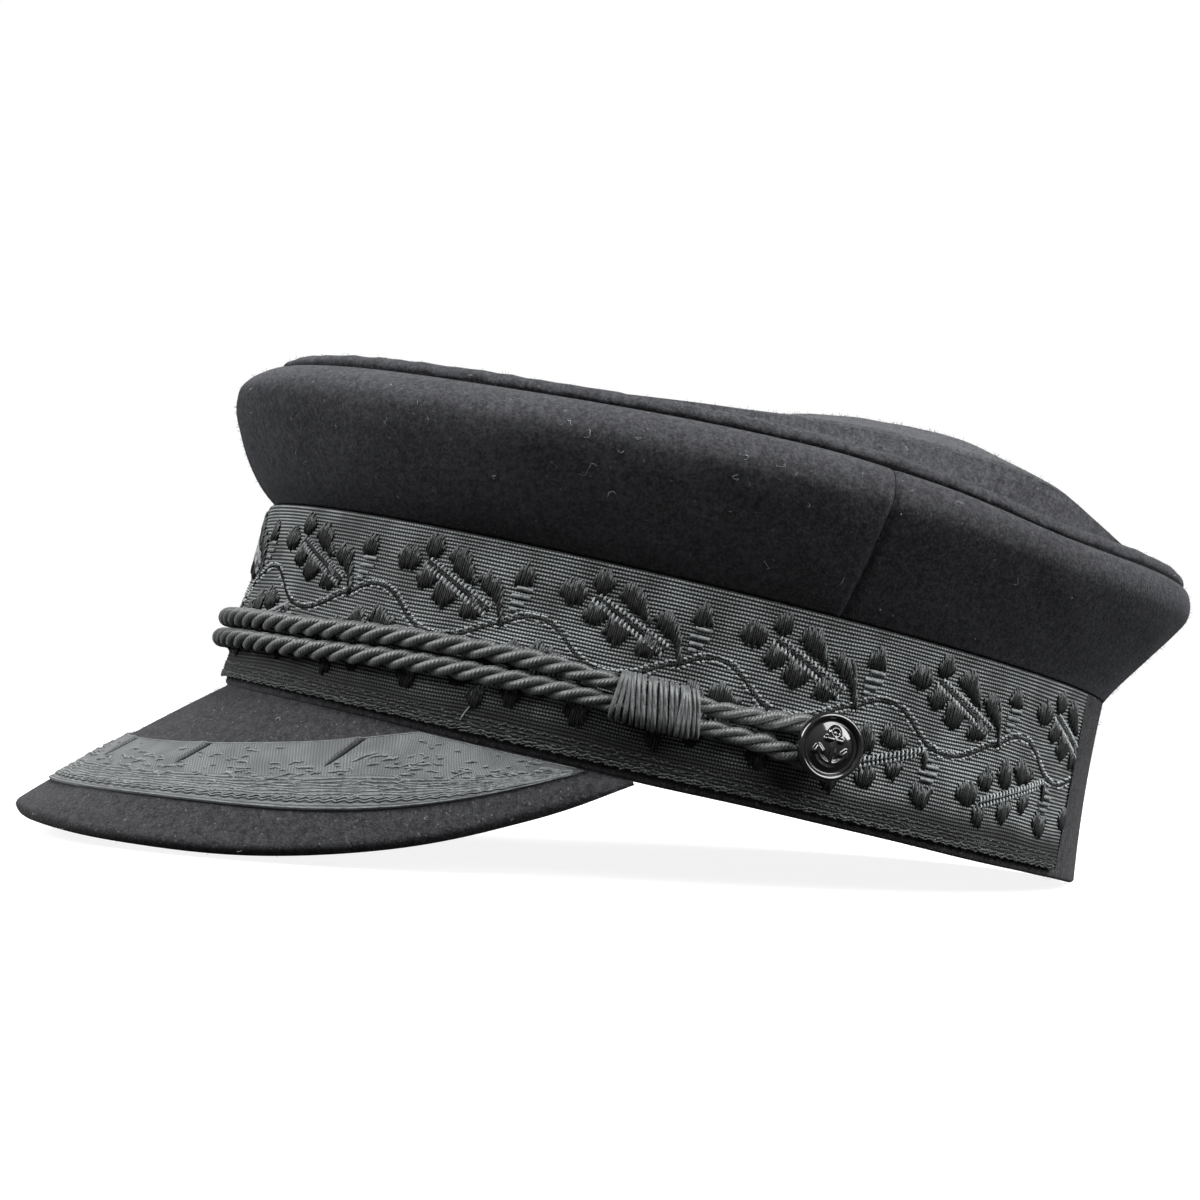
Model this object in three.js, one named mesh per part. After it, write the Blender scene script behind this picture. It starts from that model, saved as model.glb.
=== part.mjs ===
// A Breton fisherman's cap: a puffed wool crown over a felt band, a woven ribbon round the band, a short
// sloping peak with a ribbon of its own, and a twisted cord held by two buttons.
// Millimetres, +Z up, the peak towards -Y, the wearer's left towards +X.
// Each piece is drawn with the band level, and the whole cap is then tipped back as it rests on a table,
// on the edge of its peak and the back of its band.
import * as THREE from 'three';

// The gap left between pieces that are sewn or glued to each other.
const seamGap = 0.3;

// The felt band, an egg-shaped oval that is a little wider behind.
const bandHalfLength = 103;
const bandHalfWidth = 85;
const bandEgg = 0.05;
const bandWall = 2.5;
const bandHeight = 43.5;

// How far the band's foot flares out at the front, over the peak, and at the back.
const flareFront = 2;
const flareBack = 3;

// The woven ribbon round the band. It ends short of the back, at this share of the band's half round.
const trimWall = 1;
const trimFoot = 2.2;
const trimEnd = 0.8;

// The crown: how far its rim stands above the band, and how far the side panels puff out past the band.
const crownWall = 2;
const crownRise = 28;
const crownTuck = 7;
const crownPuffFront = 15.5;
const crownPuffSide = 17;
const crownPuffBack = 15;

// The side seams of the crown, as a share of the half round from the front centre, and the shallow dip that
// each seam pulls in the cloth beside it.
const sideSeam = 0.548;
const seamDip = 0.8;
const seamReach = 8;

// The top panel: its rolled edge and the height of its soft hump above that edge.
const weltWidth = 4.5;
const weltHeight = 4.2;
const humpRise = 22.5;

// The peak, which runs from a little in front of the band's middle on one side to the same on the other.
const peakDepth = 42.5;
const peakDrop = 37.5;
const peakWall = 3;
const peakEnd = 0.43;
const peakEndDepth = 2.5;
const peakArch = 0.7;

// The ribbon on the peak: how far in from the peak's edge it starts, and its width.
const peakTrimInset = 9.4;
const peakTrimWidth = 22;
const peakTrimWall = 1;

// The twisted cord, which runs twice round the front, and the wrapped sliders that squeeze it.
const cordDiameter = 4.8;
const cordSqueezed = 4.1;
const cordGap = 0.4;
const sliderLength = 17.5;
const sliderWall = 0.8;
const sliderBarrel = 0.4;
const sliderPlace = 0.442;

// The buttons and their shanks, at this share of the band's half round.
const buttonDiameter = 14.5;
const buttonThickness = 3.8;
const shankDiameter = 2.2;
const buttonPlace = 0.55;

// How finely each piece is faceted.
const roundSteps = 64;
const bandSteps = 2;
const trimSteps = 52;
const sideSteps = 21;
const peakSteps = 36;
const cordSides = 8;
const cordRunSteps = 34;
const cordTurnSteps = 5;
const sliderSides = 16;
const sliderSteps = 5;
const buttonSides = 24;

const wool = { color: 0x1b1c20, roughness: 0.95, metalness: 0 };
const ribbon = { color: 0x35383b, roughness: 0.75, metalness: 0 };
const cordSatin = { color: 0x23262a, roughness: 0.5, metalness: 0 };
const buttonBlack = { color: 0x08090b, roughness: 0.25, metalness: 0 };

const halfRound = Math.PI;
const { lerp } = THREE.MathUtils;

// A smooth curve through the rows of a table: the value of column `to` where column `from` is `at`.
function readTable(rows, from, to, at) {
  const last = rows.length - 1;
  if (at <= rows[0][from]) return rows[0][to];
  if (at >= rows[last][from]) return rows[last][to];
  const k = rows.findIndex((row) => row[from] > at) - 1;
  const slope = (i) => {
    const before = rows[Math.max(i - 1, 0)];
    const after = rows[Math.min(i + 1, last)];
    return (after[to] - before[to]) / (after[from] - before[from]);
  };
  const span = rows[k + 1][from] - rows[k][from];
  const s = (at - rows[k][from]) / span;
  const rest = 1 - s;
  return lerp(rows[k][to], rows[k + 1][to], s * s * (3 - 2 * s))
    + span * s * rest * (slope(k) * rest - slope(k + 1) * s);
}

// A size that changes from the front to the side to the back of the oval.
function aroundOval(turn, front, side, back) {
  const along = Math.cos(turn) ** 2;
  return lerp(side, Math.cos(turn) > 0 ? front : back, along);
}

// The step along the band's outer oval, in plan, for a small step of the turn. The turn is 0 at the front
// centre and grows towards the wearer's left.
function ovalStep(turn) {
  return new THREE.Vector2(
    bandHalfWidth * (Math.cos(turn) - bandEgg * Math.cos(2 * turn)),
    bandHalfLength * Math.sin(turn),
  );
}

// How far the band has flared out at a height.
const flareCurve = 2;

function flare(turn, z) {
  const fall = THREE.MathUtils.clamp(1 - z / bandHeight, 0, 1);
  return aroundOval(turn, flareFront, 0, flareBack) * fall ** flareCurve;
}

// A point `out` millimetres outside the band's outer face, at a height.
function bandPoint(turn, out, z) {
  const along = ovalStep(turn).normalize();
  const reach = out + flare(turn, z);
  return new THREE.Vector3(
    bandHalfWidth * Math.sin(turn) * (1 - bandEgg * Math.cos(turn)) + reach * along.y,
    -bandHalfLength * Math.cos(turn) - reach * along.x,
    z,
  );
}

// Evenly spread values from one number to another.
function spread(from, to, steps) {
  return Array.from({ length: steps + 1 }, (_, i) => lerp(from, to, i / steps));
}

// The turns of a whole round.
function wholeRound(steps) {
  return spread(-halfRound, halfRound, steps).slice(0, -1);
}

// A closed solid from its faces, each a loop of three or four points. Equal points are shared, faces without
// area are left out, and all the faces are turned round where they would point inwards.
function solid(name, faces, look) {
  const places = new Map();
  const position = [];
  const index = [];
  const vertex = (p) => {
    const key = [p.x, p.y, p.z].map((v) => Math.round(v * 1e4)).join();
    if (!places.has(key)) {
      places.set(key, places.size);
      position.push(p.x, p.y, p.z);
    }
    return places.get(key);
  };
  const triangle = (a, b, c) => {
    if (a !== b && b !== c && c !== a) index.push(a, b, c);
  };
  for (const face of faces) {
    const [a, b, c, d] = face.map(vertex);
    triangle(a, b, c);
    if (d !== undefined) triangle(a, c, d);
  }
  let volume = 0;
  const corners = [new THREE.Vector3(), new THREE.Vector3(), new THREE.Vector3()];
  for (let i = 0; i < index.length; i += 3) {
    const [a, b, c] = corners.map((p, k) => p.fromArray(position, 3 * index[i + k]));
    volume += a.dot(b.cross(c));
  }
  if (volume < 0) index.reverse();
  const geometry = new THREE.BufferGeometry();
  geometry.setAttribute('position', new THREE.Float32BufferAttribute(position, 3));
  geometry.setIndex(index);
  geometry.computeVertexNormals();
  const mesh = new THREE.Mesh(geometry, new THREE.MeshStandardMaterial(look));
  mesh.name = name;
  return mesh;
}

// The faces of a body swept through closed sections, each a loop of as many points. The body closes on
// itself, or has both ends closed with a ladder of faces across the section.
function sweep(sections, closed) {
  const faces = [];
  const count = sections.length;
  for (let i = 0; i < (closed ? count : count - 1); i += 1) {
    const from = sections[i];
    const to = sections[(i + 1) % count];
    for (let k = 0; k < from.length; k += 1) {
      const next = (k + 1) % from.length;
      faces.push([from[k], to[k], to[next], from[next]]);
    }
  }
  if (closed) return faces;
  for (const [section, turned] of [[sections[0], false], [sections[count - 1], true]]) {
    for (let k = 0; k < section.length / 2 - 1; k += 1) {
      const far = section.length - 1 - k;
      const face = [section[k], section[k + 1], section[far - 1], section[far]];
      faces.push(turned ? face.reverse() : face);
    }
  }
  return faces;
}

// A wall's section: its outer line, then its inner line back to the start.
function wallSection(outer, inner) {
  return [...outer, ...inner.slice().reverse()];
}

// A wall that follows the band's face, between two distances out from it and between two heights.
function bandWallSection(turn, inner, outer, foot, top) {
  const heights = spread(foot, top, bandSteps);
  return wallSection(
    heights.map((z) => bandPoint(turn, outer, z)),
    heights.map((z) => bandPoint(turn, inner, z)),
  );
}

function makeHeadband() {
  const sections = wholeRound(roundSteps).map((turn) => bandWallSection(turn, -bandWall, 0, 0, bandHeight));
  return solid('headband', sweep(sections, true), wool);
}

const trimOut = seamGap + trimWall;

function makeBandTrim() {
  const end = trimEnd * halfRound;
  const sections = spread(-end, end, trimSteps)
    .map((turn) => bandWallSection(turn, seamGap, trimOut, trimFoot, bandHeight));
  return solid('band_trim', sweep(sections, false), ribbon);
}

// The crown's side panels from the band up to the rim. Columns: share of the rise, share of the puff at the
// front centre, share of the puff at the back centre.
const sideProfile = [
  [0.12, 0.30, 0.12],
  [0.30, 0.59, 0.35],
  [0.48, 0.79, 0.60],
  [0.66, 0.93, 0.84],
  [0.82, 1.00, 1.00],
  [0.94, 0.92, 0.98],
  [1.00, 0.72, 0.82],
];

// How the crown's rim rises and sags. Columns: share of the half round from the front centre, lift as a
// share of the crown's rise.
const rimSag = [
  [0.00, 0.00],
  [0.30, 0.02],
  [0.50, 0.08],
  [0.58, 0.05],
  [0.68, -0.04],
  [0.80, 0.00],
  [1.00, 0.065],
];

const crownFoot = bandHeight + seamGap;

// How far a turn is from the front centre, as a share of the half round.
function fromFront(turn) {
  return Math.acos(Math.cos(turn)) / halfRound;
}

function crownPuff(turn) {
  const dips = [0, sideSeam].map((seam) => {
    const away = (fromFront(turn) - seam) * halfRound * ovalStep(turn).length();
    return Math.exp(-((away / seamReach) ** 2));
  });
  return aroundOval(turn, crownPuffFront, crownPuffSide, crownPuffBack) - seamDip * Math.max(...dips);
}

function rimRise(turn) {
  return crownRise * (1 + readTable(rimSag, 0, 1, fromFront(turn)));
}

// How far outside the band the side panels stand, from a row of their profile.
function sideOut(turn, [, front, back]) {
  return crownPuff(turn) * lerp(back, front, (1 + Math.cos(turn)) / 2);
}

// How far outside the band the rim stands.
function rimOut(turn) {
  return sideOut(turn, sideProfile[sideProfile.length - 1]);
}

// A crown panel between two turns: a wall that puffs out from the band and folds in under the top panel.
function makeCrownPanel(name, from, to) {
  const sections = spread(from, to, sideSteps).map((turn) => {
    const rise = rimRise(turn);
    const line = sideProfile.map((row) => new THREE.Vector2(sideOut(turn, row), rise * row[0]));
    line.unshift(new THREE.Vector2(0, 0));
    line.push(new THREE.Vector2(rimOut(turn) - crownTuck, rise));
    const inner = line.map((point, k) => {
      const before = line[Math.max(k - 1, 0)];
      const after = line[Math.min(k + 1, line.length - 1)];
      const along = after.clone().sub(before).normalize();
      return new THREE.Vector2(point.x - crownWall * along.y, point.y + crownWall * along.x);
    });
    inner[0].set(-crownWall, 0);
    const place = (p) => bandPoint(turn, p.x, crownFoot + p.y);
    return wallSection(line.map(place), inner.map(place));
  });
  return solid(name, sweep(sections, false), wool);
}

function makeCrownPanels() {
  const seam = sideSeam * halfRound;
  const halfGap = (turn) => seamGap / 2 / ovalStep(turn).length();
  return [
    makeCrownPanel('crown_side_left', halfGap(0), seam - halfGap(seam)),
    makeCrownPanel('crown_side_right', halfGap(seam) - seam, -halfGap(0)),
    makeCrownPanel('crown_back', seam + halfGap(seam), 2 * halfRound - seam - halfGap(seam)),
  ];
}

// The top panel's rolled edge. Columns: share of its width in from the rim, share of its height.
const weltProfile = [
  [0.00, 0.00],
  [-0.04, 0.50],
  [0.35, 1.00],
  [1.00, 0.80],
];

// The top panel inside its rolled edge, as shares of the way out from the middle.
const panelRings = [0.87, 0.76, 0.65, 0.52, 0.32, 0];

// The higher this is, the further the hump keeps its height towards the sides.
const humpBreadth = 2.5;

// The hump along the top panel. Columns: share of the half length behind the middle, share of the rise.
const humpLine = [
  [-1.00, 0.00],
  [-0.80, -0.04],
  [-0.45, 0.05],
  [-0.15, 0.38],
  [0.10, 0.85],
  [0.27, 1.00],
  [0.38, 1.00],
  [0.49, 0.80],
  [0.60, 0.34],
  [0.70, 0.04],
  [0.82, -0.02],
  [1.00, 0.00],
];

// The top panel's height above the middle of the rim, `out` being the share of the way out to the rim.
function panelHeight(turn, point, out) {
  const y = point.y / (bandHalfLength + rimOut(turn));
  const across = point.x / (bandHalfWidth + crownPuffSide);
  const hump = humpRise * readTable(humpLine, 0, 1, y) * Math.max(0, 1 - Math.abs(across) ** humpBreadth);
  const edge = weltHeight * weltProfile[weltProfile.length - 1][1] * lerp(0.3, 1, out ** 2);
  return hump + edge + (rimRise(turn) - crownRise) * out ** 2;
}

function makeCrownTop() {
  const foot = crownFoot + crownRise + seamGap;
  const sections = wholeRound(roundSteps).map((turn) => {
    const base = crownFoot + rimRise(turn) + seamGap;
    const weltIn = (share) => rimOut(turn) - weltWidth * share;
    const welt = weltProfile.map(([inward, up]) => bandPoint(turn, weltIn(inward), base + weltHeight * up));
    const under = weltProfile.map(([inward]) => bandPoint(turn, weltIn(Math.max(inward, 0)), base));
    const edge = bandPoint(turn, weltIn(1), 0);
    const panel = panelRings.map((out) => {
      const point = edge.clone().multiplyScalar(out);
      point.z = foot + panelHeight(turn, point, out);
      return point;
    });
    const lining = panel.map((point) => point.clone().setZ(point.z - crownWall));
    return wallSection([...welt, ...panel], [...under, ...lining]);
  });
  return solid('crown_top', sweep(sections, true), wool);
}

// How strongly the peak's edge stays low before it turns up to the band at its ends.
const peakSweep = 2.6;

// The peak's upper face starts this far in from the outside of the band, under the felt.
const peakSeat = 0.4;

// How the peak's edge is rounded. Columns: share of the wall in from the edge, share of the wall down.
const peakEdge = [
  [0.60, 0.00],
  [0.20, 0.12],
  [0.00, 0.42],
  [0.00, 0.58],
  [0.20, 0.88],
  [0.60, 1.00],
];

// The two ends of a straight line down the peak's upper face, `across` running from -1 to 1 over the peak.
function peakLine(across) {
  const root = bandPoint(across * peakEnd * halfRound, -peakSeat, -seamGap);
  const end = bandPoint(peakEnd * halfRound, 0, 0);
  const swing = across * halfRound / 2;
  const edge = new THREE.Vector3(
    (end.x + peakEndDepth) * Math.sin(swing),
    end.y - (bandHalfLength + end.y + peakDepth) * Math.cos(swing),
    -seamGap - peakDrop * (1 - (1 - Math.cos(swing)) ** peakSweep),
  );
  return { root, edge, length: root.distanceTo(edge) };
}

// A point of the peak, `inset` millimetres in from its edge and `down` millimetres under its upper face,
// which arches a little between the band and the edge.
function peakPoint(across, inset, down) {
  const line = peakLine(across);
  const share = 1 - inset / line.length;
  const beside = (step) => {
    const near = peakLine(across + step);
    return near.root.lerp(near.edge, share);
  };
  const small = 1e-3;
  const fall = line.edge.clone().sub(line.root);
  const up = beside(small).sub(beside(-small)).cross(fall).normalize();
  return line.root.lerp(line.edge, share).addScaledVector(up, down - 4 * peakArch * share * (1 - share));
}

function makePeak() {
  const sections = spread(-1, 1, peakSteps).map((across) => {
    const { length } = peakLine(across);
    const ring = [];
    for (const share of spread(0, 1, 5).slice(0, -1)) {
      ring.push(peakPoint(across, lerp(length, peakWall, share), 0));
    }
    for (const [inward, down] of peakEdge) {
      ring.push(peakPoint(across, peakWall * inward, peakWall * down));
    }
    for (const share of spread(1, 0, 5).slice(1)) {
      ring.push(peakPoint(across, lerp(length, peakWall, share), peakWall));
    }
    return ring;
  });
  return solid('peak', sweep(sections, false), wool);
}

// The ribbon's inner edge stays this far from the band.
const peakTrimClear = 2.5;
const peakTrimLeast = 2;

// How far across the peak the ribbon reaches before it runs out under the band.
function peakTrimReach() {
  const room = (across) => peakLine(across).length - peakTrimClear - peakTrimInset;
  let [inside, outside] = [0, 1];
  for (let i = 0; i < 30; i += 1) {
    const middle = (inside + outside) / 2;
    if (room(middle) > peakTrimLeast) inside = middle;
    else outside = middle;
  }
  return inside;
}

function makePeakTrim() {
  const reach = peakTrimReach();
  const sections = spread(-reach, reach, peakSteps).map((across) => {
    const room = peakLine(across).length - peakTrimClear - peakTrimInset;
    const insets = spread(peakTrimInset, peakTrimInset + Math.min(peakTrimWidth, room), 3);
    return wallSection(
      insets.map((inset) => peakPoint(across, inset, -seamGap - peakTrimWall)),
      insets.map((inset) => peakPoint(across, inset, -seamGap)),
    );
  });
  return solid('peak_trim', sweep(sections, false), ribbon);
}

// The middle of the two runs of cord. Columns: share of the way from the front centre to the button, height
// as a share of the band's height.
const cordLine = [
  [0.00, 0.300],
  [0.31, 0.325],
  [0.51, 0.380],
  [0.67, 0.400],
  [0.80, 0.380],
  [1.00, 0.375],
];

const cordOut = trimOut + seamGap + cordDiameter / 2;
const squeezedOut = trimOut + 2 * seamGap + sliderWall + sliderBarrel + cordSqueezed / 2;
const shankEye = shankDiameter / 2 + seamGap + cordDiameter / 2;

// How much of a squeeze the cord has at a turn, from 0 in its free stretch to 1 inside a slider.
function squeeze(turn) {
  const away = Math.abs(Math.abs(turn) - sliderPlace * halfRound) * ovalStep(turn).length();
  return 1 - THREE.MathUtils.smoothstep((away - sliderLength / 2) / cordDiameter, 1, 3);
}

// How far the cord has opened round the button's shank at a turn, from 0 to 1.
function opening(turn) {
  const away = (buttonPlace * halfRound - Math.abs(turn)) * ovalStep(turn).length();
  return 1 - THREE.MathUtils.smoothstep(away / buttonDiameter, 0, 1);
}

function cordHeight(turn) {
  return bandHeight * readTable(cordLine, 0, 1, Math.abs(turn) / (buttonPlace * halfRound));
}

// The cord at a turn: how far out it lies, half the distance between its two runs, and its radius.
function cordAt(turn) {
  const tight = squeeze(turn);
  const free = lerp((cordDiameter + cordGap) / 2, shankEye, opening(turn));
  return {
    out: lerp(cordOut, squeezedOut, tight),
    half: lerp(free, (cordSqueezed + cordGap) / 2, tight),
    radius: lerp(cordDiameter, cordSqueezed, tight) / 2,
  };
}

// The middle of the cord all the way round, and its radius there: along the upper run to the left button,
// round its shank, back along the lower run and round the right one.
function cordStations() {
  const end = buttonPlace * halfRound;
  const run = (side) => spread(-side * end, side * end, cordRunSteps).map((turn) => {
    const { out, half, radius } = cordAt(turn);
    return { point: bandPoint(turn, out, cordHeight(turn) + side * half), radius };
  });
  const eye = (side) => spread(0, halfRound, cordTurnSteps).slice(1, -1).map((swing) => {
    const along = shankEye * Math.sin(swing) / ovalStep(end).length();
    const up = side * shankEye * Math.cos(swing);
    return { point: bandPoint(side * (end + along), cordOut, cordHeight(end) + up), radius: cordDiameter / 2 };
  });
  return [...run(1), ...eye(1), ...run(-1), ...eye(-1)];
}

function makeCord() {
  const stations = cordStations();
  const sections = stations.map(({ point, radius }, i) => {
    const before = stations[(i + stations.length - 1) % stations.length].point;
    const after = stations[(i + 1) % stations.length].point;
    const along = after.clone().sub(before).normalize();
    const outward = new THREE.Vector3(point.x, point.y, 0).projectOnPlane(along).normalize();
    const beside = along.clone().cross(outward);
    return spread(0, 2 * halfRound, cordSides).slice(1).map((swing) => point.clone()
      .addScaledVector(outward, radius * Math.cos(swing))
      .addScaledVector(beside, radius * Math.sin(swing)));
  });
  return solid('front_cord', sweep(sections, true), cordSatin);
}

// A wrapped slider: a barrel round both runs of the cord.
function makeSlider(name, side) {
  const middle = side * sliderPlace * halfRound;
  const reach = sliderLength / 2 / ovalStep(middle).length();
  const turns = spread(middle - reach, middle + reach, sliderSteps);
  const ring = (turn, swing, wall) => {
    const { out, half, radius } = cordAt(turn);
    const wide = radius + seamGap + wall;
    const up = Math.sign(Math.sin(swing)) * half + wide * Math.sin(swing);
    return bandPoint(turn, out + wide * Math.cos(swing), cordHeight(turn) + up);
  };
  const quarter = halfRound / sliderSides;
  const sections = wholeRound(sliderSides).map((swing) => {
    const bulge = spread(-1, 1, sliderSteps).map((share) => sliderWall + sliderBarrel * (1 - share ** 2));
    return wallSection(
      turns.map((turn, i) => ring(turn, swing + quarter, bulge[i])),
      turns.map((turn) => ring(turn, swing + quarter, 0)),
    );
  });
  return solid(name, sweep(sections, true), cordSatin);
}

// The button's outline over its shank. Columns: share of the button's radius, share of its thickness.
const buttonProfile = [
  [0.60, 0.00],
  [0.92, 0.16],
  [1.00, 0.42],
  [0.97, 0.74],
  [0.90, 0.84],
  [0.82, 0.74],
  [0.78, 0.66],
  [0.50, 0.90],
  [0.00, 1.00],
];

function makeButton(name, side) {
  const shank = 2 * seamGap + cordDiameter;
  const turn = side * buttonPlace * halfRound;
  const outline = [
    new THREE.Vector2(0, 0),
    new THREE.Vector2(shankDiameter / 2, 0),
    new THREE.Vector2(shankDiameter / 2, shank),
    ...buttonProfile.map(([out, up]) => new THREE.Vector2(
      out * buttonDiameter / 2,
      shank + up * buttonThickness,
    )),
  ];
  const mesh = new THREE.Mesh(
    new THREE.LatheGeometry(outline, buttonSides),
    new THREE.MeshStandardMaterial(buttonBlack),
  );
  const along = ovalStep(turn).normalize();
  mesh.quaternion.setFromUnitVectors(new THREE.Vector3(0, 1, 0), new THREE.Vector3(along.y, -along.x, 0));
  mesh.position.copy(bandPoint(turn, trimOut + seamGap, cordHeight(turn)));
  mesh.name = name;
  return mesh;
}

// How far the whole cap tips back to rest on its peak and on the back of its band, in radians.
function restTilt(peak) {
  const place = peak.geometry.getAttribute('position');
  const heel = bandPoint(halfRound, 0, 0);
  let tilt = 0;
  for (let i = 0; i < place.count; i += 1) {
    tilt = Math.max(tilt, Math.atan2(heel.z - place.getZ(i), heel.y - place.getY(i)));
  }
  return tilt;
}

const cap = new THREE.Group();
const peak = makePeak();
cap.add(makeHeadband(), makeBandTrim(), ...makeCrownPanels(), makeCrownTop(), peak, makePeakTrim());
cap.add(makeCord(), makeSlider('cord_slider_left', 1), makeSlider('cord_slider_right', -1));
cap.add(makeButton('button_left', 1), makeButton('button_right', -1));

// The origin is under the middle of the cap, on the surface that it rests on.
cap.rotation.x = -restTilt(peak);
cap.updateMatrixWorld(true);
const reach = new THREE.Box3().setFromObject(cap, true);
const middle = reach.getCenter(new THREE.Vector3());
cap.position.set(-middle.x, -middle.y, -reach.min.z);

const group = new THREE.Group();
group.add(cap);
export default group;
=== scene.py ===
"""The looks of a Breton fisherman's cap: wool cloth, felt, two woven ribbons, twisted cord and black buttons.

Every piece is drawn in millimetres with the cap's band level, the peak towards -Y and the wearer's left
towards +X, and is then placed as the cap rests, in metres.
"""

import math

import bmesh
import bpy
import numpy as np
from mathutils import Matrix


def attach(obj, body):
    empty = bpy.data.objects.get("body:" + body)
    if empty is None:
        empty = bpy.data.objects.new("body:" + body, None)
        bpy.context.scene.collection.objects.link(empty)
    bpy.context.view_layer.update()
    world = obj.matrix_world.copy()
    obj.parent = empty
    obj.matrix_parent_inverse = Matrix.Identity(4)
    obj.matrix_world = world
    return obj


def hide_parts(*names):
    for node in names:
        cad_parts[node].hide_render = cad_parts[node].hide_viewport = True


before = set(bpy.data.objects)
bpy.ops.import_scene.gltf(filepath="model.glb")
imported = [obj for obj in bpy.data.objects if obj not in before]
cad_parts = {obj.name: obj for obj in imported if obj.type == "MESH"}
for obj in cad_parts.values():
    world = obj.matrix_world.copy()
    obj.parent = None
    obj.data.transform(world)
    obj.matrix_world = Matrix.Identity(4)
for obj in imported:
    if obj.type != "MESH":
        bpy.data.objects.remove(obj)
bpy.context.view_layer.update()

# How the level cap is tipped back and placed to rest.
REST_TIP = math.radians(9.947219043)
REST_PLACE = np.array([0.0, 10.562298722, 18.310535162])


def turn_to_rest(vectors):
    """Directions in the level cap, turned as the cap rests."""
    vectors = np.asarray(vectors, float)
    x, y, z = vectors[..., 0], vectors[..., 1], vectors[..., 2]
    cosine, sine = math.cos(REST_TIP), math.sin(REST_TIP)
    return np.stack([x, cosine * y + sine * z, cosine * z - sine * y], -1)


def to_rest(points):
    """Points of the level cap in millimetres, as the cap rests, in metres."""
    return (turn_to_rest(points) + REST_PLACE) / 1000


def put(name, data):
    """A new object in the scene, at the origin."""
    thing = bpy.data.objects.new(name, data)
    bpy.context.scene.collection.objects.link(thing)
    return thing


def aim(thing, axes, place):
    """Sets an object's own X, Y and Z directions and its place."""
    thing.matrix_world = Matrix([[*axes[:, row], place[row]] for row in range(3)] + [[0, 0, 0, 1]])


# The camera, in the level cap's own frame.
CAMERA_AZIMUTH = math.radians(79)
CAMERA_ELEVATION = math.radians(-1.73)
CAMERA_ROLL = math.radians(13.21)
CAMERA_DISTANCE = 600
CAMERA_TARGET = np.array([0.0, 0.0, 20.0])
PHOTO_SIDE = 1200
PHOTO_FOCAL = 2462.0
PHOTO_CENTRE = (669.7, 704.2)
SENSOR = 36.0
NEAR_CLIP = 0.01


def make_camera():
    across, rise = math.cos(CAMERA_ELEVATION), math.sin(CAMERA_ELEVATION)
    back = np.array([math.sin(CAMERA_AZIMUTH) * across, -math.cos(CAMERA_AZIMUTH) * across, rise])
    level = np.array([math.cos(CAMERA_AZIMUTH), math.sin(CAMERA_AZIMUTH), 0.0])
    upright = np.cross(back, level)
    right = level * math.cos(CAMERA_ROLL) + upright * math.sin(CAMERA_ROLL)
    up = upright * math.cos(CAMERA_ROLL) - level * math.sin(CAMERA_ROLL)
    data = bpy.data.cameras.new("camera")
    data.sensor_width = SENSOR
    data.lens = SENSOR * PHOTO_FOCAL / PHOTO_SIDE
    data.shift_x = 0.5 - PHOTO_CENTRE[0] / PHOTO_SIDE
    data.shift_y = PHOTO_CENTRE[1] / PHOTO_SIDE - 0.5
    data.clip_start = NEAR_CLIP
    camera = put("camera", data)
    aim(camera, turn_to_rest([right, up, back]), to_rest(CAMERA_TARGET + back * CAMERA_DISTANCE))
    bpy.context.scene.camera = camera


make_camera()


# The cap's own sizes, in millimetres.
SEAM_GAP = 0.3
BAND_HALF_LENGTH = 103.0
BAND_HALF_WIDTH = 85.0
BAND_EGG = 0.05
BAND_WALL = 2.5
BAND_HEIGHT = 43.5
FLARE_FRONT = 2.0
FLARE_BACK = 3.0
FLARE_CURVE = 2
TRIM_WALL = 1.0
TRIM_FOOT = 2.2
TRIM_END = 0.8
TRIM_OUT = SEAM_GAP + TRIM_WALL
CROWN_WALL = 2.0
CROWN_RISE = 28.0
CROWN_TUCK = 7.0
CROWN_PUFF = (15.5, 17.0, 15.0)
SIDE_SEAM = 0.548
SEAM_DIP = 0.8
SEAM_REACH = 8.0
WELT_WIDTH = 4.5
WELT_HEIGHT = 3.1
HUMP_RISE = 22.5
HUMP_BREADTH = 2.5
PEAK_DEPTH = 42.5
PEAK_DROP = 37.0
PEAK_WALL = 3.6
PEAK_END = 0.438
PEAK_END_DEPTH = 1.2
PEAK_ARCH = 0.7
PEAK_SWEEP = 2.2
PEAK_SEAT = 0.4
PEAK_TRIM_INSET = 9.4
PEAK_TRIM_WIDTH = [(0, 20.5), (0.3, 19.4), (0.5, 21.5), (0.65, 25), (0.8, 27), (1, 27)]
PEAK_TRIM_CLEAR = 0.2
PEAK_TRIM_LEAST = 0.4
CORD_DIAMETER = 4.8
CORD_SQUEEZED = 4.1
CORD_GAP = 0.15
SLIDER_LENGTH = 17.5
SLIDER_WALL = 0.8
SLIDER_BARREL = 0.4
SLIDER_PLACE = 0.442
BUTTON_DIAMETER = 14.5
BUTTON_THICKNESS = 3.8
BUTTON_SHANK = 2.2
BUTTON_PLACE = 0.55


def read_table(rows, at):
    """A smooth curve through the rows of a table, read at many places at once."""
    known, values = np.array(rows, float).T
    last = len(rows) - 1
    before = np.maximum(np.arange(last + 1) - 1, 0)
    after = np.minimum(np.arange(last + 1) + 1, last)
    slope = (values[after] - values[before]) / (known[after] - known[before])
    at = np.clip(at, known[0], known[-1])
    k = np.clip(np.searchsorted(known, at, side="right") - 1, 0, last - 1)
    span = known[k + 1] - known[k]
    s = (at - known[k]) / span
    rest = 1 - s
    straight = values[k] + (values[k + 1] - values[k]) * s * s * (3 - 2 * s)
    return straight + span * s * rest * (slope[k] * rest - slope[k + 1] * s)


def blend(low, high, share):
    return low + (high - low) * share


def unit(vectors):
    """Vectors brought to a length of 1."""
    return vectors / np.linalg.norm(vectors, axis=-1, keepdims=True)


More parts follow.
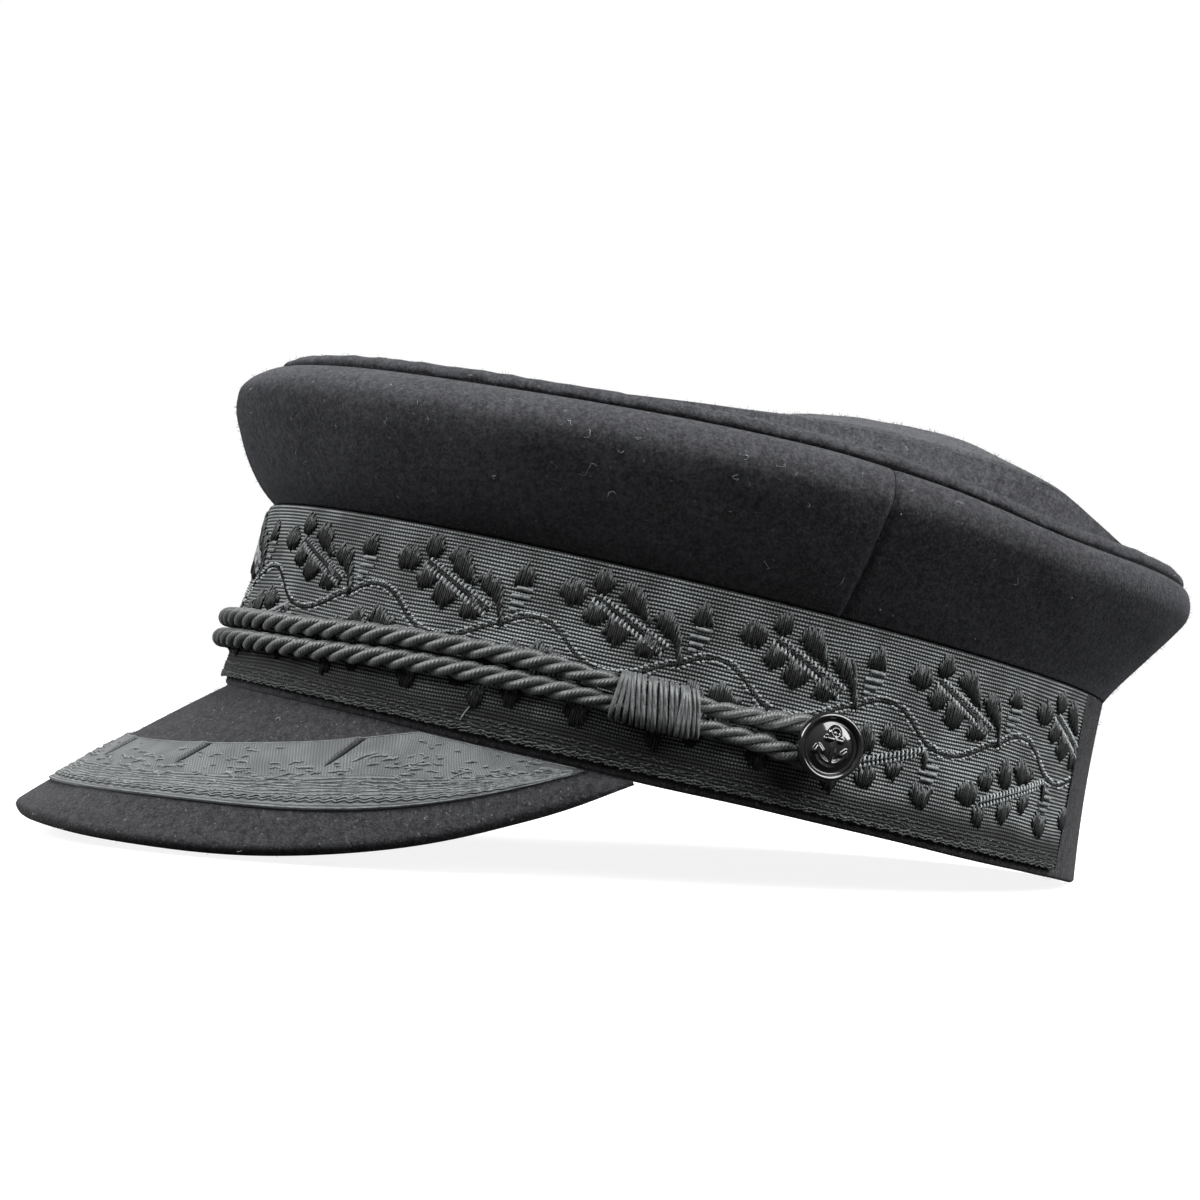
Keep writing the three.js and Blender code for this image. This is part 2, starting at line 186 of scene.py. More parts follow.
def bell(away, width):
    """1 at a place, and less to both sides of it."""
    return np.exp(-((away / width) ** 2))


def smooth_step(value, low, high):
    share = np.clip((value - low) / (high - low), 0, 1)
    return share * share * (3 - 2 * share)


def around_oval(turn, front, side, back):
    """A size that changes from the front to the side to the back of the oval."""
    along = np.cos(turn) ** 2
    return blend(side, np.where(np.cos(turn) > 0, front, back), along)


def oval_step(turn):
    """The step along the band's outer oval, in plan, for a small step of the turn."""
    x = BAND_HALF_WIDTH * (np.cos(turn) - BAND_EGG * np.cos(2 * turn))
    return x, BAND_HALF_LENGTH * np.sin(turn)


def oval_stride(turn):
    return np.hypot(*oval_step(turn))


def band_point(turn, out, z):
    """Points `out` millimetres outside the band's outer face, at a height. The turn is 0 at the front
    centre and grows towards the wearer's left."""
    turn, out, z = np.broadcast_arrays(np.asarray(turn, float), out, z)
    step_x, step_y = oval_step(turn)
    stride = np.hypot(step_x, step_y)
    fall = np.clip(1 - z / BAND_HEIGHT, 0, 1) ** FLARE_CURVE
    reach = out + around_oval(turn, FLARE_FRONT, 0.0, FLARE_BACK) * fall
    x = BAND_HALF_WIDTH * np.sin(turn) * (1 - BAND_EGG * np.cos(turn)) + reach * step_y / stride
    y = -BAND_HALF_LENGTH * np.cos(turn) - reach * step_x / stride
    return np.stack([x, y, z + 0.0 * x], -1)


def ruler(points):
    """Lengths along a line of points, from its middle."""
    steps = np.linalg.norm(np.diff(points, axis=0), axis=1)
    return np.concatenate([[0], np.cumsum(steps)]) - steps.sum() / 2


# Lengths along the ribbon's face, from the front centre towards the wearer's left, and their turns.
RULER_TURNS = np.linspace(-math.pi, math.pi, 4001)
RULER = ruler(band_point(RULER_TURNS, TRIM_OUT, BAND_HEIGHT / 2)[:, :2])


def turn_at(length):
    return np.interp(length, RULER, RULER_TURNS)


def length_at(turn):
    return np.interp(turn, RULER_TURNS, RULER)


def on_band(length, z, out):
    return band_point(turn_at(length), out, z)


# Nodes and sockets.
def plug(tree, socket, value):
    """Links a socket to another, or sets its own value."""
    if isinstance(value, Value):
        value = value.socket
    if isinstance(value, bpy.types.NodeSocket):
        tree.links.new(value, socket)
    else:
        socket.default_value = value


def add_node(tree, kind, settings=None, sockets=None):
    """A new node: its settings are set first, then the values or links of its sockets."""
    node = tree.nodes.new(kind)
    for name, value in (settings or {}).items():
        setattr(node, name, value)
    for key, value in (sockets or {}).items():
        plug(tree, node.inputs[key], value)
    return node


class Value:
    """A socket that carries a number, with Python's arithmetic on it."""

    def __init__(self, tree, socket):
        self.tree = tree
        self.socket = socket

    def math(self, operation, first, *others):
        sockets = dict(enumerate((first, *others)))
        node = add_node(self.tree, "ShaderNodeMath", {"operation": operation}, sockets)
        return Value(self.tree, node.outputs[0])

    def __add__(self, other):
        return self.math("ADD", self, other)

    __radd__ = __add__

    def __sub__(self, other):
        return self.math("SUBTRACT", self, other)

    def __rsub__(self, other):
        return self.math("SUBTRACT", other, self)

    def __mul__(self, other):
        return self.math("MULTIPLY", self, other)

    __rmul__ = __mul__

    def power(self, exponent):
        return self.math("POWER", self, exponent)

    def sine(self):
        return self.math("SINE", self)

    def absolute(self):
        return self.math("ABSOLUTE", self)

    def wave(self):
        """From 0 to 1 and back, once for each whole number."""
        return (self * (2 * math.pi)).sine() * 0.5 + 0.5

    def between(self, low, high):
        """0 below one number, 1 above another, smooth between them."""
        sockets = {0: self, 1: low, 2: high}
        node = add_node(self.tree, "ShaderNodeMapRange", {"interpolation_type": "SMOOTHSTEP"}, sockets)
        return Value(self.tree, node.outputs[0])


class Finish:
    """A material: its constant sockets are given by name, and the rest is built from nodes."""

    def __init__(self, name, **constants):
        self.material = bpy.data.materials.new(name)
        self.material.use_nodes = True
        self.tree = self.material.node_tree
        self.shader = self.tree.nodes["Principled BSDF"]
        for key, value in constants.items():
            self.set(key.replace("_", " ").title().replace("Ior", "IOR"), value)

    def set(self, socket, value):
        plug(self.tree, self.shader.inputs[socket], value)

    def node(self, kind, settings=None, sockets=None, output=0):
        return Value(self.tree, add_node(self.tree, kind, settings, sockets).outputs[output])

    def place(self):
        return self.node("ShaderNodeTexCoord", output="Object")

    def noise(self, place, scale, detail=2.0, roughness=0.5):
        sockets = {"Vector": place, "Scale": scale, "Detail": detail, "Roughness": roughness}
        return self.node("ShaderNodeTexNoise", None, sockets)

    def flat_place(self):
        """How far along and across the cloth a point lies when it is laid flat, in decimetres."""
        flat = self.node("ShaderNodeUVMap", {"uv_map": "UVMap"})
        split = add_node(self.tree, "ShaderNodeSeparateXYZ", None, {0: flat})
        return [Value(self.tree, socket) for socket in split.outputs[:2]]

    def attribute(self, name):
        return self.node("ShaderNodeAttribute", {"attribute_name": name}, output="Fac")

    def mix(self, share, low, high):
        """A colour between two others."""
        return self.node("ShaderNodeMix", {"data_type": "RGBA"}, {0: share, 6: low, 7: high}, 2)

    def bump(self, height, distance):
        sockets = {"Height": height, "Distance": distance, "Strength": 1.0}
        self.set("Normal", self.node("ShaderNodeBump", None, sockets))


def cool(level):
    """The ribbons' black: a touch green and blue."""
    return (level * 0.95, level * 1.02, level * 1.03, 1)


def grey(level, blue=1.04):
    """A colour close to grey, a little cool."""
    return (level, level * 1.01, level * blue, 1.0)


# Meshes.
def grid_faces(rows, columns, wrap_rows=False, wrap_columns=False):
    """The faces of a grid of points that are numbered a row at a time."""
    row = np.arange(rows if wrap_rows else rows - 1)[:, None]
    column = np.arange(columns if wrap_columns else columns - 1)[None, :]
    next_row, next_column = (row + 1) % rows, (column + 1) % columns
    corners = [
        row * columns + column,
        row * columns + next_column,
        next_row * columns + next_column,
        next_row * columns + column,
    ]
    return np.stack(np.broadcast_arrays(*corners), -1).reshape(-1, 4)


def new_mesh(name, points):
    """A mesh of points of the level cap, as the cap rests."""
    points = to_rest(points).reshape(-1, 3)
    mesh = bpy.data.meshes.new(name)
    mesh.vertices.add(len(points))
    mesh.vertices.foreach_set("co", points.astype(np.float32).ravel())
    return mesh


def add_faces(mesh, faces):
    mesh.loops.add(faces.size)
    mesh.loops.foreach_set("vertex_index", faces.astype(np.int32).ravel())
    mesh.polygons.add(len(faces))
    mesh.polygons.foreach_set("loop_start", np.arange(len(faces), dtype=np.int32) * faces.shape[1])
    mesh.polygons.foreach_set("use_smooth", np.ones(len(faces), bool))
    mesh.update(calc_edges=True)


def make_piece(name, points, faces, finish, flat=None):
    """A piece with its place in its mesh. `flat` are the points' places in the cloth's own plane, in
    decimetres."""
    mesh = new_mesh(name, points)
    add_faces(mesh, faces)
    if flat is not None:
        layer = mesh.uv_layers.new(name="UVMap")
        layer.data.foreach_set("uv", flat.reshape(-1, 2)[faces.ravel()].astype(np.float32).ravel())
    mesh.materials.append(finish.material)
    return put(name, mesh)


def face_inwards(points, faces):
    """Whether the faces point towards the origin of their points more than away from it."""
    a, b, c, d = (points.reshape(-1, 3)[faces[:, k]] for k in range(4))
    return (np.cross(a, b) * c + np.cross(a, c) * d).sum() < 0


def turned_out(points, faces):
    """The faces of a closed body, turned round if they point inwards."""
    return faces[:, ::-1] if face_inwards(points, faces) else faces


def make_solid(name, sections, closed, finish, flat=None):
    """A closed body swept through closed sections, each a row of as many points."""
    count, sides = sections.shape[:2]
    faces = grid_faces(count, sides, closed, True)
    if not closed:
        step = np.arange(sides // 2 - 1)
        end = np.stack([step, step + 1, sides - 2 - step, sides - 1 - step], -1)
        faces = np.concatenate([faces, end, end[:, ::-1] + (count - 1) * sides])
    return make_piece(name, sections, turned_out(sections, faces), finish, flat)


def close_poles(piece):
    """Merges points that meet in one place, and drops the faces that have no area left."""
    work = bmesh.new()
    work.from_mesh(piece.data)
    bmesh.ops.remove_doubles(work, verts=work.verts, dist=1e-6)
    work.to_mesh(piece.data)
    work.free()
    return piece


def dress(piece, slot, *nodes):
    """Fixes a finished piece to the cap and hides the CAD nodes that it stands for. The slot is not used."""
    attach(piece, "root")
    if nodes:
        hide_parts(*nodes)


def smooth_line(knots, steps):
    """A smooth line through knots, which lie along the last axis but one."""
    before = np.concatenate([knots[..., :1, :], knots[..., :-1, :]], -2)
    after = np.concatenate([knots[..., 1:, :], knots[..., -1:, :]], -2)
    slope = (after - before) / 2
    share = (np.arange(steps) / steps)[:, None]
    rest = 1 - share
    lines = []
    for k in range(knots.shape[-2] - 1):
        low, high = knots[..., k, None, :], knots[..., k + 1, None, :]
        middle = blend(low, high, share * share * (3 - 2 * share))
        bend = share * rest * (slope[..., k, None, :] * rest - slope[..., k + 1, None, :] * share)
        lines.append(middle + bend)
    return np.concatenate([*lines, knots[..., -1:, :]], -2)


def loop_of(outer, inner):
    """A wall's section: its outer line, then its inner line back to the start."""
    return np.concatenate([outer, inner[..., ::-1, :]], -2)


# Geometry trees.
class GeometryTree:
    """A tree over a mesh, with named inputs. Each step gives the socket that it puts out."""

    def __init__(self, name, inputs):
        self.tree = bpy.data.node_groups.new(name, "GeometryNodeTree")
        self.tree.interface.new_socket("Geometry", in_out="OUTPUT", socket_type="NodeSocketGeometry")
        for label, kind in {"Geometry": "Geometry", **inputs, "Material": "Material"}.items():
            self.tree.interface.new_socket(label, in_out="INPUT", socket_type="NodeSocket" + kind)
        self.given = self.tree.nodes.new("NodeGroupInput").outputs
        self.result = self.tree.nodes.new("NodeGroupOutput").inputs[0]

    def step(self, kind, sockets=None, settings=None, output=0):
        return add_node(self.tree, kind, settings, sockets).outputs[output]

    def ring(self, sides):
        return self.step("GeometryNodeCurvePrimitiveCircle", {"Resolution": sides, "Radius": 1})

    def tube(self, line, ring, scale):
        """A ring swept along a line, with closed ends."""
        sockets = {"Curve": line, "Profile Curve": ring, "Scale": scale, "Fill Caps": True}
        return self.step("GeometryNodeCurveToMesh", sockets)

    def finish(self, geometry):
        """Ends the tree in real, smooth faces of the given material."""
        smooth = self.step("GeometryNodeSetShadeSmooth", {"Geometry": geometry})
        real = self.step("GeometryNodeRealizeInstances", {"Geometry": smooth})
        painted = self.step("GeometryNodeSetMaterial", {"Geometry": real, "Material": self.given["Material"]})
        plug(self.tree, self.result, painted)
        return self.tree


def make_thread_tree():
    """Threads along the edges of a mesh. The point attribute `thick` is their radius in metres."""
    work = GeometryTree("thread", {"Sides": "Int", "Thickness": "Float"})
    line = work.step("GeometryNodeMeshToCurve", {"Mesh": work.given["Geometry"]})
    ring = work.ring(work.given["Sides"])
    marked = []
    for curve, name, measure in ((line, "along", "Length"), (ring, "around", "Factor")):
        place = work.step("GeometryNodeSplineParameter", output=measure)
        sockets = {"Geometry": curve, "Name": name, "Value": place}
        marked.append(work.step("GeometryNodeStoreNamedAttribute", sockets, {"domain": "POINT"}))
    thick = work.step("GeometryNodeInputNamedAttribute", {"Name": "thick"}, {"data_type": "FLOAT"})
    sockets = {0: thick, 1: work.given["Thickness"]}
    radius = work.step("ShaderNodeMath", sockets, {"operation": "MULTIPLY"})
    return work.finish(work.tube(*marked, radius))


def make_nap_tree():
    """Short bent fibres scattered over a cloth."""
    sizes = dict.fromkeys(("Density", "Length", "Thickness", "Lean"), "Float")
    work = GeometryTree("nap", {"Seed": "Int", **sizes})
    given = work.given
    sockets = {"Mesh": given["Geometry"], "Density": given["Density"], "Seed": given["Seed"]}
    points = add_node(work.tree, "GeometryNodeDistributePointsOnFaces", None, sockets).outputs
    sockets = {"Resolution": 2, "Start": (0, 0, 0), "Middle": (0.1, 0, 0.5), "End": (0.55, 0, 0.8)}
    line = work.step("GeometryNodeCurveQuadraticBezier", sockets)
    sockets = {0: given["Thickness"], 1: given["Length"]}
    slimness = work.step("ShaderNodeMath", sockets, {"operation": "DIVIDE"})
    fibre = work.tube(line, work.ring(3), slimness)
    lean = work.step("ShaderNodeCombineXYZ", {0: given["Lean"], 1: given["Lean"], 2: math.pi})
    back = work.step("ShaderNodeVectorMath", {0: lean, "Scale": -1}, {"operation": "SCALE"})
    sockets = {0: back, 1: lean, "Seed": given["Seed"]}
    swing = work.step("FunctionNodeRandomValue", sockets, {"data_type": "FLOAT_VECTOR"})
    sockets = {0: points["Rotation"], 1: work.step("FunctionNodeEulerToRotation", {0: swing})}
    turned = work.step("FunctionNodeRotateRotation", sockets, {"rotation_space": "LOCAL"})
    sockets = {2: 0.5, 3: 1.0, "Seed": given["Seed"]}
    share = work.step("FunctionNodeRandomValue", sockets, {"data_type": "FLOAT"}, 1)
    size = work.step("ShaderNodeMath", {0: share, 1: given["Length"]}, {"operation": "MULTIPLY"})
    sockets = {"Points": points[0], "Instance": fibre, "Rotation": turned, "Scale": size}
    return work.finish(work.step("GeometryNodeInstanceOnPoints", sockets))


def grow(name, source, tree, finish, **inputs):
    """Runs a geometry tree on a mesh and keeps what it makes as a plain piece."""
    worker = put(name + "_source", source)
    modifier = worker.modifiers.new("tree", "NODES")
    modifier.node_group = tree
    given = {**inputs, "Material": finish.material}
    for item in tree.interface.items_tree:
        if item.in_out == "INPUT" and item.name in given:
            modifier[item.identifier] = given[item.name]
    ready = worker.evaluated_get(bpy.context.evaluated_depsgraph_get())
    mesh = bpy.data.meshes.new_from_object(ready)
    worker.modifiers.remove(modifier)
    bpy.data.objects.remove(worker)
    mesh.name = name
    return put(name, mesh)


thread_tree = make_thread_tree()
nap_tree = make_nap_tree()


def make_threads(name, slot, lines, radii, finish, *nodes, sides=4, closed=False):
    """Threads along lines of points. `radii` is one radius for all, or one or a row for each line."""
    counts = [len(line) for line in lines]
    if not isinstance(radii, list):
        radii = [radii] * len(lines)
    thick = np.concatenate([np.broadcast_to(radius, n) for radius, n in zip(radii, counts)]) / 1000
    edges, first = [], 0
    for n in counts:
        start = np.arange(first, first + n)
        pairs = np.stack([start, np.roll(start, -1)], -1)
        edges.append(pairs if closed else pairs[:-1])
        first += n
    edges = np.concatenate(edges)
    mesh = new_mesh(name + "_lines", np.concatenate(lines))
    mesh.edges.add(len(edges))
    mesh.edges.foreach_set("vertices", edges.astype(np.int32).ravel())
    attribute = mesh.attributes.new("thick", "FLOAT", "POINT")
    attribute.data.foreach_set("value", thick.astype(np.float32))
    dress(grow(name, mesh, thread_tree, finish, Sides=sides, Thickness=1.0), slot, *nodes)


# Finishes.
def make_wool():
    """Dense milled wool: near black, softly mottled, with a fine nap."""
    sheen = {"sheen_weight": 0.05, "sheen_roughness": 0.5, "sheen_tint": (0.75, 0.78, 0.85, 1)}
    wool = Finish("milled_wool", roughness=0.95, specular_ior_level=0.03, **sheen)
    place = wool.place()
    broad = wool.noise(place, 45, 2.0)
    mottle = wool.noise(place, 620, 3.0, 0.7)
    fibre = wool.noise(place, 1500, 2.0, 0.7)
    share = (broad * 0.12 + mottle * 0.5 + fibre * 0.5).between(0.42, 0.72)
    speck = wool.noise(place, 900, 1.0, 0.6).between(0.70, 0.80)
    ground = wool.mix(share, grey(0.018, 1.1), grey(0.046, 1.1))
    wool.set("Base Color", wool.mix(speck * 0.5, ground, grey(0.13)))
    wool.bump(broad * 0.3 + mottle * 0.4 + fibre * 0.4, 0.0004)
    return wool


def make_felt():
    """The felt of the band and the peak: greyer than the crown, and speckled."""
    felt = Finish("felt", roughness=0.92, specular_ior_level=0.03, sheen_weight=0.06, sheen_roughness=0.5)
    place = felt.place()
    mottle = felt.noise(place, 560, 3.0, 0.7)
    fibre = felt.noise(place, 1700, 2.0, 0.7)
    speck = felt.noise(place, 1300, 1.0, 0.5).between(0.66, 0.78)
    share = (mottle * 0.5 + fibre * 0.5).between(0.32, 0.72)
    ground = felt.mix(share, grey(0.013, 1.1), grey(0.046, 1.1))
    felt.set("Base Color", felt.mix(speck * 0.6, ground, grey(0.13)))
    felt.bump(mottle * 0.5 + fibre * 0.6, 0.0005)
    return felt


# The woven ribbons: the distance between ribs and between the stitches along them, in millimetres.
DECIMETRE = 100
RIB_PITCH = 0.8
WEAVE_PITCH = 0.68
PEAK_RIB_PITCH = 1.0


def make_ribbon():
    """Ribbed ribbon: each rib is a row of small stitches, and the rib crowns are painted light as a painted
    highlight.
    """
    ribbon = Finish("ribbed_ribbon", roughness=0.55, specular_ior_level=0.2, sheen_weight=0.05)
    along, up = ribbon.flat_place()
    wander = ribbon.noise(ribbon.place(), 260, 2.0)
    row = up * (DECIMETRE / RIB_PITCH)
    stagger = (row * math.pi + 0.3).sine() * 0.15
    stitch = (along * (DECIMETRE / WEAVE_PITCH) + wander * 0.8 + stagger).wave()
    rib = (row * math.pi).sine().absolute()
    crown = rib.power(1.4)
    worn = ribbon.noise(ribbon.place(), 90, 3.0).between(0.3, 0.75)
    # Below about 11 mm up the band the painted highlight is dimmed: the ribbon's plain lower band, and
    # painted shade under the cord.
    plain = up.between(0.055, 0.115)
    weave_and_highlight = crown * (stitch * 0.62 + 0.38) * (plain * 0.75 + 0.25) * (worn * 0.5 + 0.6)
    # The rib crowns and their stitches are painted light over a dark ground: a painted highlight on the satin
    # threads.
    ribbon.set("Base Color", ribbon.mix(weave_and_highlight.between(0.05, 0.95), cool(0.005), cool(0.32)))
    ribbon.set("Roughness", 0.72 - weave_and_highlight * 0.3)
    ribbon.bump(crown * (stitch * 0.6 + 0.4), 0.00018)
    return ribbon


def make_peak_ribbon():
    """The peak's ribbon: slanting fine lines, with its raised threads painted lighter as a painted highlight,
    more so in random patches.
    """
    ribbon = Finish("peak_ribbon", roughness=0.6, specular_ior_level=0.2, sheen_weight=0.05)
    along, across = ribbon.flat_place()
    wander = ribbon.noise(ribbon.place(), 240, 2.0)
    slant = (along * 140 + across * 122 + wander * 0.9).wave()
    stitch = (along * 150 + wander * 0.5).wave()
    patch = ribbon.noise(ribbon.place(), 130, 2.0, 0.6).between(0.35, 0.7)
    rib = (across * (DECIMETRE / PEAK_RIB_PITCH * math.pi) + wander * 1.2).sine().absolute()
    ribbed = across.between(0.095, 0.08)
    weave = (slant * 0.6 + 0.4) * (1 - ribbed) + rib * ribbed
    # The raised threads are painted lighter: a painted highlight, varied in random patches.
    weave_and_highlight = weave * (stitch * 0.35 + 0.65) * (patch * 0.45 + 0.65)
    ribbon.set("Base Color", ribbon.mix(weave_and_highlight, cool(0.03), cool(0.155)))
    ribbon.bump(weave * (stitch * 0.4 + 0.6), 0.00018)
    return ribbon


def make_thread_finish(name, low, high, roughness, sheen=0.2, lines=0.0, gloss=0.3, twist=160):
    """Yarn: darker and lighter along its length, with fine lines round it where `lines` isn't 0."""
    yarn = Finish(name, roughness=roughness, specular_ior_level=gloss, sheen_weight=sheen)
    place = yarn.place()
    shade = yarn.noise(place, 700, 2.0, 0.6)
    fine = yarn.noise(place, 2600, 1.0)
    share = (shade * 0.6 + fine * 0.4).between(0.3, 0.7)
    if lines:
        around, along = yarn.attribute("around"), yarn.attribute("along")
        ply = (around * lines + along * twist).wave()
        share = share * 0.5 + ply * 0.5
        yarn.bump(ply * 0.7 + fine * 0.5, 0.00012)
    else:
        yarn.bump(shade * 0.5 + fine * 0.5, 0.0001)
    yarn.set("Base Color", yarn.mix(share, cool(low), cool(high)))
    return yarn


def make_button_black():
    """Polished black plastic with a faint haze that varies at random."""
    black = Finish("button_black", roughness=0.12, coat_weight=1.0, coat_roughness=0.05)
    place = black.place()
    haze = black.noise(place, 500, 3.0, 0.6)
    black.set("Base Color", black.mix(haze, grey(0.003), grey(0.009)))
    black.set("Roughness", haze * 0.1 + 0.07)
    black.bump(black.noise(place, 900, 2.0), 0.00003)
    return black


wool = make_wool()
felt = make_felt()
band_ribbon = make_ribbon()
peak_ribbon = make_peak_ribbon()
satin_dark = make_thread_finish("satin_float", 0.003, 0.012, 0.45, 0.03, gloss=0.22)
# The float ends are drawn again in a lighter finish: a painted highlight where they turn in under light from
# above.
tip_highlight_finish = make_thread_finish("highlight_tip_thread", 0.02, 0.13, 0.5, 0.05)
# The vein stitches and the vine's beads get this light finish: a painted highlight on dark embroidery.
stitch_highlight = make_thread_finish("highlight_stitch", 0.13, 0.36, 0.5, 0.05)
bar_yarn = make_thread_finish("bar_yarn", 0.07, 0.22, 0.55, 0.05)
satin_cord = make_thread_finish("satin_cord", 0.006, 0.1, 0.45, 0.12, lines=5, gloss=0.75, twist=1250)
slider_yarn = make_thread_finish("slider_yarn", 0.014, 0.165, 0.45, 0.1, lines=3, gloss=0.5)
nap_fibre = make_thread_finish("nap_fibre", 0.012, 0.06, 0.8, 0.02, gloss=0.1)
lint_fibre = make_thread_finish("lint", 0.2, 0.42, 0.8, 0.02)
button_black = make_button_black()


# The crown: its side panels from the band up to the rim. Columns: share of the rise, share of the puff at
# the front centre and at the back centre.
SIDE_LINE = [
    (0.00, 0.00, 0.00), (0.12, 0.30, 0.12), (0.30, 0.60, 0.35), (0.48, 0.82, 0.60),
    (0.64, 0.97, 0.82), (0.78, 0.98, 0.98), (0.91, 0.76, 0.98), (1.00, 0.42, 0.84),
]
RIM_LIFT = 1.3
RIM_SAG = [
    (0, 0.06), (0.14, 0.04), (0.30, 0.04), (0.50, 0.095),
    (0.58, 0.06), (0.68, -0.03), (0.80, 0), (1, 0.065),
]
CROWN_FOOT = BAND_HEIGHT + SEAM_GAP
WAVES = 9

# The sheets of points that the nap and the lint lie on.
sheets = {"wool": [], "felt": []}


def whole_round(count, start=-math.pi):
    """Even turns all the way round, one to a row."""
    return np.linspace(start, start + 2 * math.pi, count + 1)[:-1, None]


def soft_waves(points, seed, size):
    """Shallow dents and swells through space, about -1 to 1, from a few waves in fixed directions."""
    chance = np.random.default_rng(seed)
    total = 0
    for _ in range(WAVES):
        direction = chance.normal(size=3)
        direction *= 2 * math.pi / np.linalg.norm(direction) / size / chance.uniform(0.6, 1.6)
        total = total + np.sin(points @ direction + chance.uniform(0, 2 * math.pi))
    return total / math.sqrt(WAVES)


def dents(points, rows):
    """Waves of several sizes together: the depth, the seed and the size of each."""
    return sum(depth * soft_waves(points, seed, size) for depth, seed, size in rows)


def from_front(turn):
    return np.arccos(np.cos(turn)) / math.pi


def crown_puff(turn):
    dips = []
    for seam in (0, SIDE_SEAM):
        away = (from_front(turn) - seam) * math.pi * oval_stride(turn)
        dips.append(bell(away, SEAM_REACH))
    return around_oval(turn, *CROWN_PUFF) - SEAM_DIP * np.maximum(*dips)


def rim_rise(turn):
    return CROWN_RISE * (1 + read_table(RIM_SAG, from_front(turn))) + RIM_LIFT


def side_out(turn, front, back):
    return crown_puff(turn) * blend(back, front, (1 + np.cos(turn)) / 2)


def rim_out(turn):
    return side_out(turn, *SIDE_LINE[-1][1:])


# Where the cloth turns in beside a seam, in millimetres from it, and how far in it turns there.
SEAM_COLUMNS = np.array([0, 0.25, 0.6, 1.0, 1.5, 2.2, 3.2])
SEAM_TURN_IN = 0.9
SEAM_ROUND = 0.8
PANEL_COLUMNS = 78
PANEL_ROWS = 6
PANEL_GAP = 0.06
PANEL_RIM = (len(SIDE_LINE) - 1) * PANEL_ROWS
PANEL_DENTS = [(0.5, 4, 60), (0.16, 5, 17)]


def crown_panel_line(start, end):
    """The turns across a crown panel, and its outer line at each of them as distance out and height."""
    first = start + SEAM_COLUMNS / oval_stride(start)
    last = end - SEAM_COLUMNS[::-1] / oval_stride(end)
    turn = np.concatenate([first, np.linspace(first[-1], last[0], PANEL_COLUMNS)[1:-1], last])
    rise = rim_rise(turn)
    knots = [np.stack([side_out(turn, front, back), rise * up], -1) for up, front, back in SIDE_LINE]
    knots.append(np.stack([rim_out(turn) - CROWN_TUCK, rise], -1))
    line = smooth_line(np.stack(knots, 1), PANEL_ROWS)
    row = np.minimum(np.arange(line.shape[1]) / PANEL_RIM, 1)
    edge = np.minimum(turn - start, end - turn) * oval_stride(turn)
    line[..., 0] -= SEAM_TURN_IN * bell(edge, SEAM_ROUND)[:, None]
    place = band_point(turn[:, None], line[..., 0], line[..., 1])
    line[..., 0] += np.sin(row * math.pi) * dents(place, PANEL_DENTS)
    return turn, line


def make_crown_panel(name, start, end):
    turn, line = crown_panel_line(start, end)
    few = line[:, ::3]
    along = unit(np.gradient(few, axis=1))
    inner = few + CROWN_WALL * np.stack([-along[..., 1], along[..., 0]], -1)
    inner[:, 0] = (-CROWN_WALL, 0)
    section = loop_of(line, inner)
    points = band_point(turn[:, None], section[..., 0], CROWN_FOOT + section[..., 1])
    outside = band_point(turn[:, None], line[..., 0], CROWN_FOOT + line[..., 1])
    sheets["wool"].append(outside[:, : PANEL_RIM + 1])
    dress(make_solid(name + "_cloth", points, False, wool), "wool", name)


side_seam = SIDE_SEAM * math.pi
seam_turn = PANEL_GAP / oval_stride(side_seam)
front_turn = PANEL_GAP / oval_stride(0.0)
make_crown_panel("crown_side_left", front_turn, side_seam - seam_turn)
make_crown_panel("crown_side_right", seam_turn - side_seam, -front_turn)
make_crown_panel("crown_back", side_seam + seam_turn, 2 * math.pi - side_seam - seam_turn)


# The top panel: its rolled edge, as shares of the roll's width in and of its height, and its hump.
WELT_LINE = np.array([(0.16, 0), (0.03, 0.24), (0.11, 0.58), (0.42, 0.96), (0.74, 0.99), (1, 0.82)])
WELT_UNDER = np.array([0.18, 0.5, 1.0])
WELT_WAVES = [(0.16, 10, 8)]
HUMP_LINE = [
    (-1.00, 0.00), (-0.80, -0.04), (-0.45, 0.05), (-0.15, 0.38), (0.10, 0.85), (0.27, 1.00),
    (0.38, 1.00), (0.49, 0.80), (0.60, 0.34), (0.70, 0.04), (0.82, -0.02), (1.00, 0.00),
]
TOP_COLUMNS = 192
TOP_EDGE_SHARE = 0.8
TOP_DENTS = [(0.7, 8, 70), (0.2, 9, 19)]
WELT_SEAT = 0.12
WELT_DIP = 0.7
WELT_DIP_REACH = 0.12
TOP_GROOVE = 0.6
TOP_INSETS = np.concatenate([[0.4, 0.8, 1.2, 1.7, 2.4, 3.4, 4.8, 6.5], np.linspace(9, 90, 30)])


def welt_height(turn):
    return WELT_HEIGHT - WELT_DIP * bell(from_front(turn), WELT_DIP_REACH)


def top_height(turn, point, out):
    """The top panel's height above the middle of the rim, `out` being the share of the way to the rim."""
    y = point[..., 1] / (BAND_HALF_LENGTH + rim_out(turn))
    across = np.abs(point[..., 0] / (BAND_HALF_WIDTH + CROWN_PUFF[1]))
    hump = HUMP_RISE * read_table(HUMP_LINE, y) * np.maximum(0, 1 - across**HUMP_BREADTH)
    edge = welt_height(turn) * TOP_EDGE_SHARE * blend(0.3, 1, out**2)
    return hump + edge + (rim_rise(turn) - CROWN_RISE) * out**2


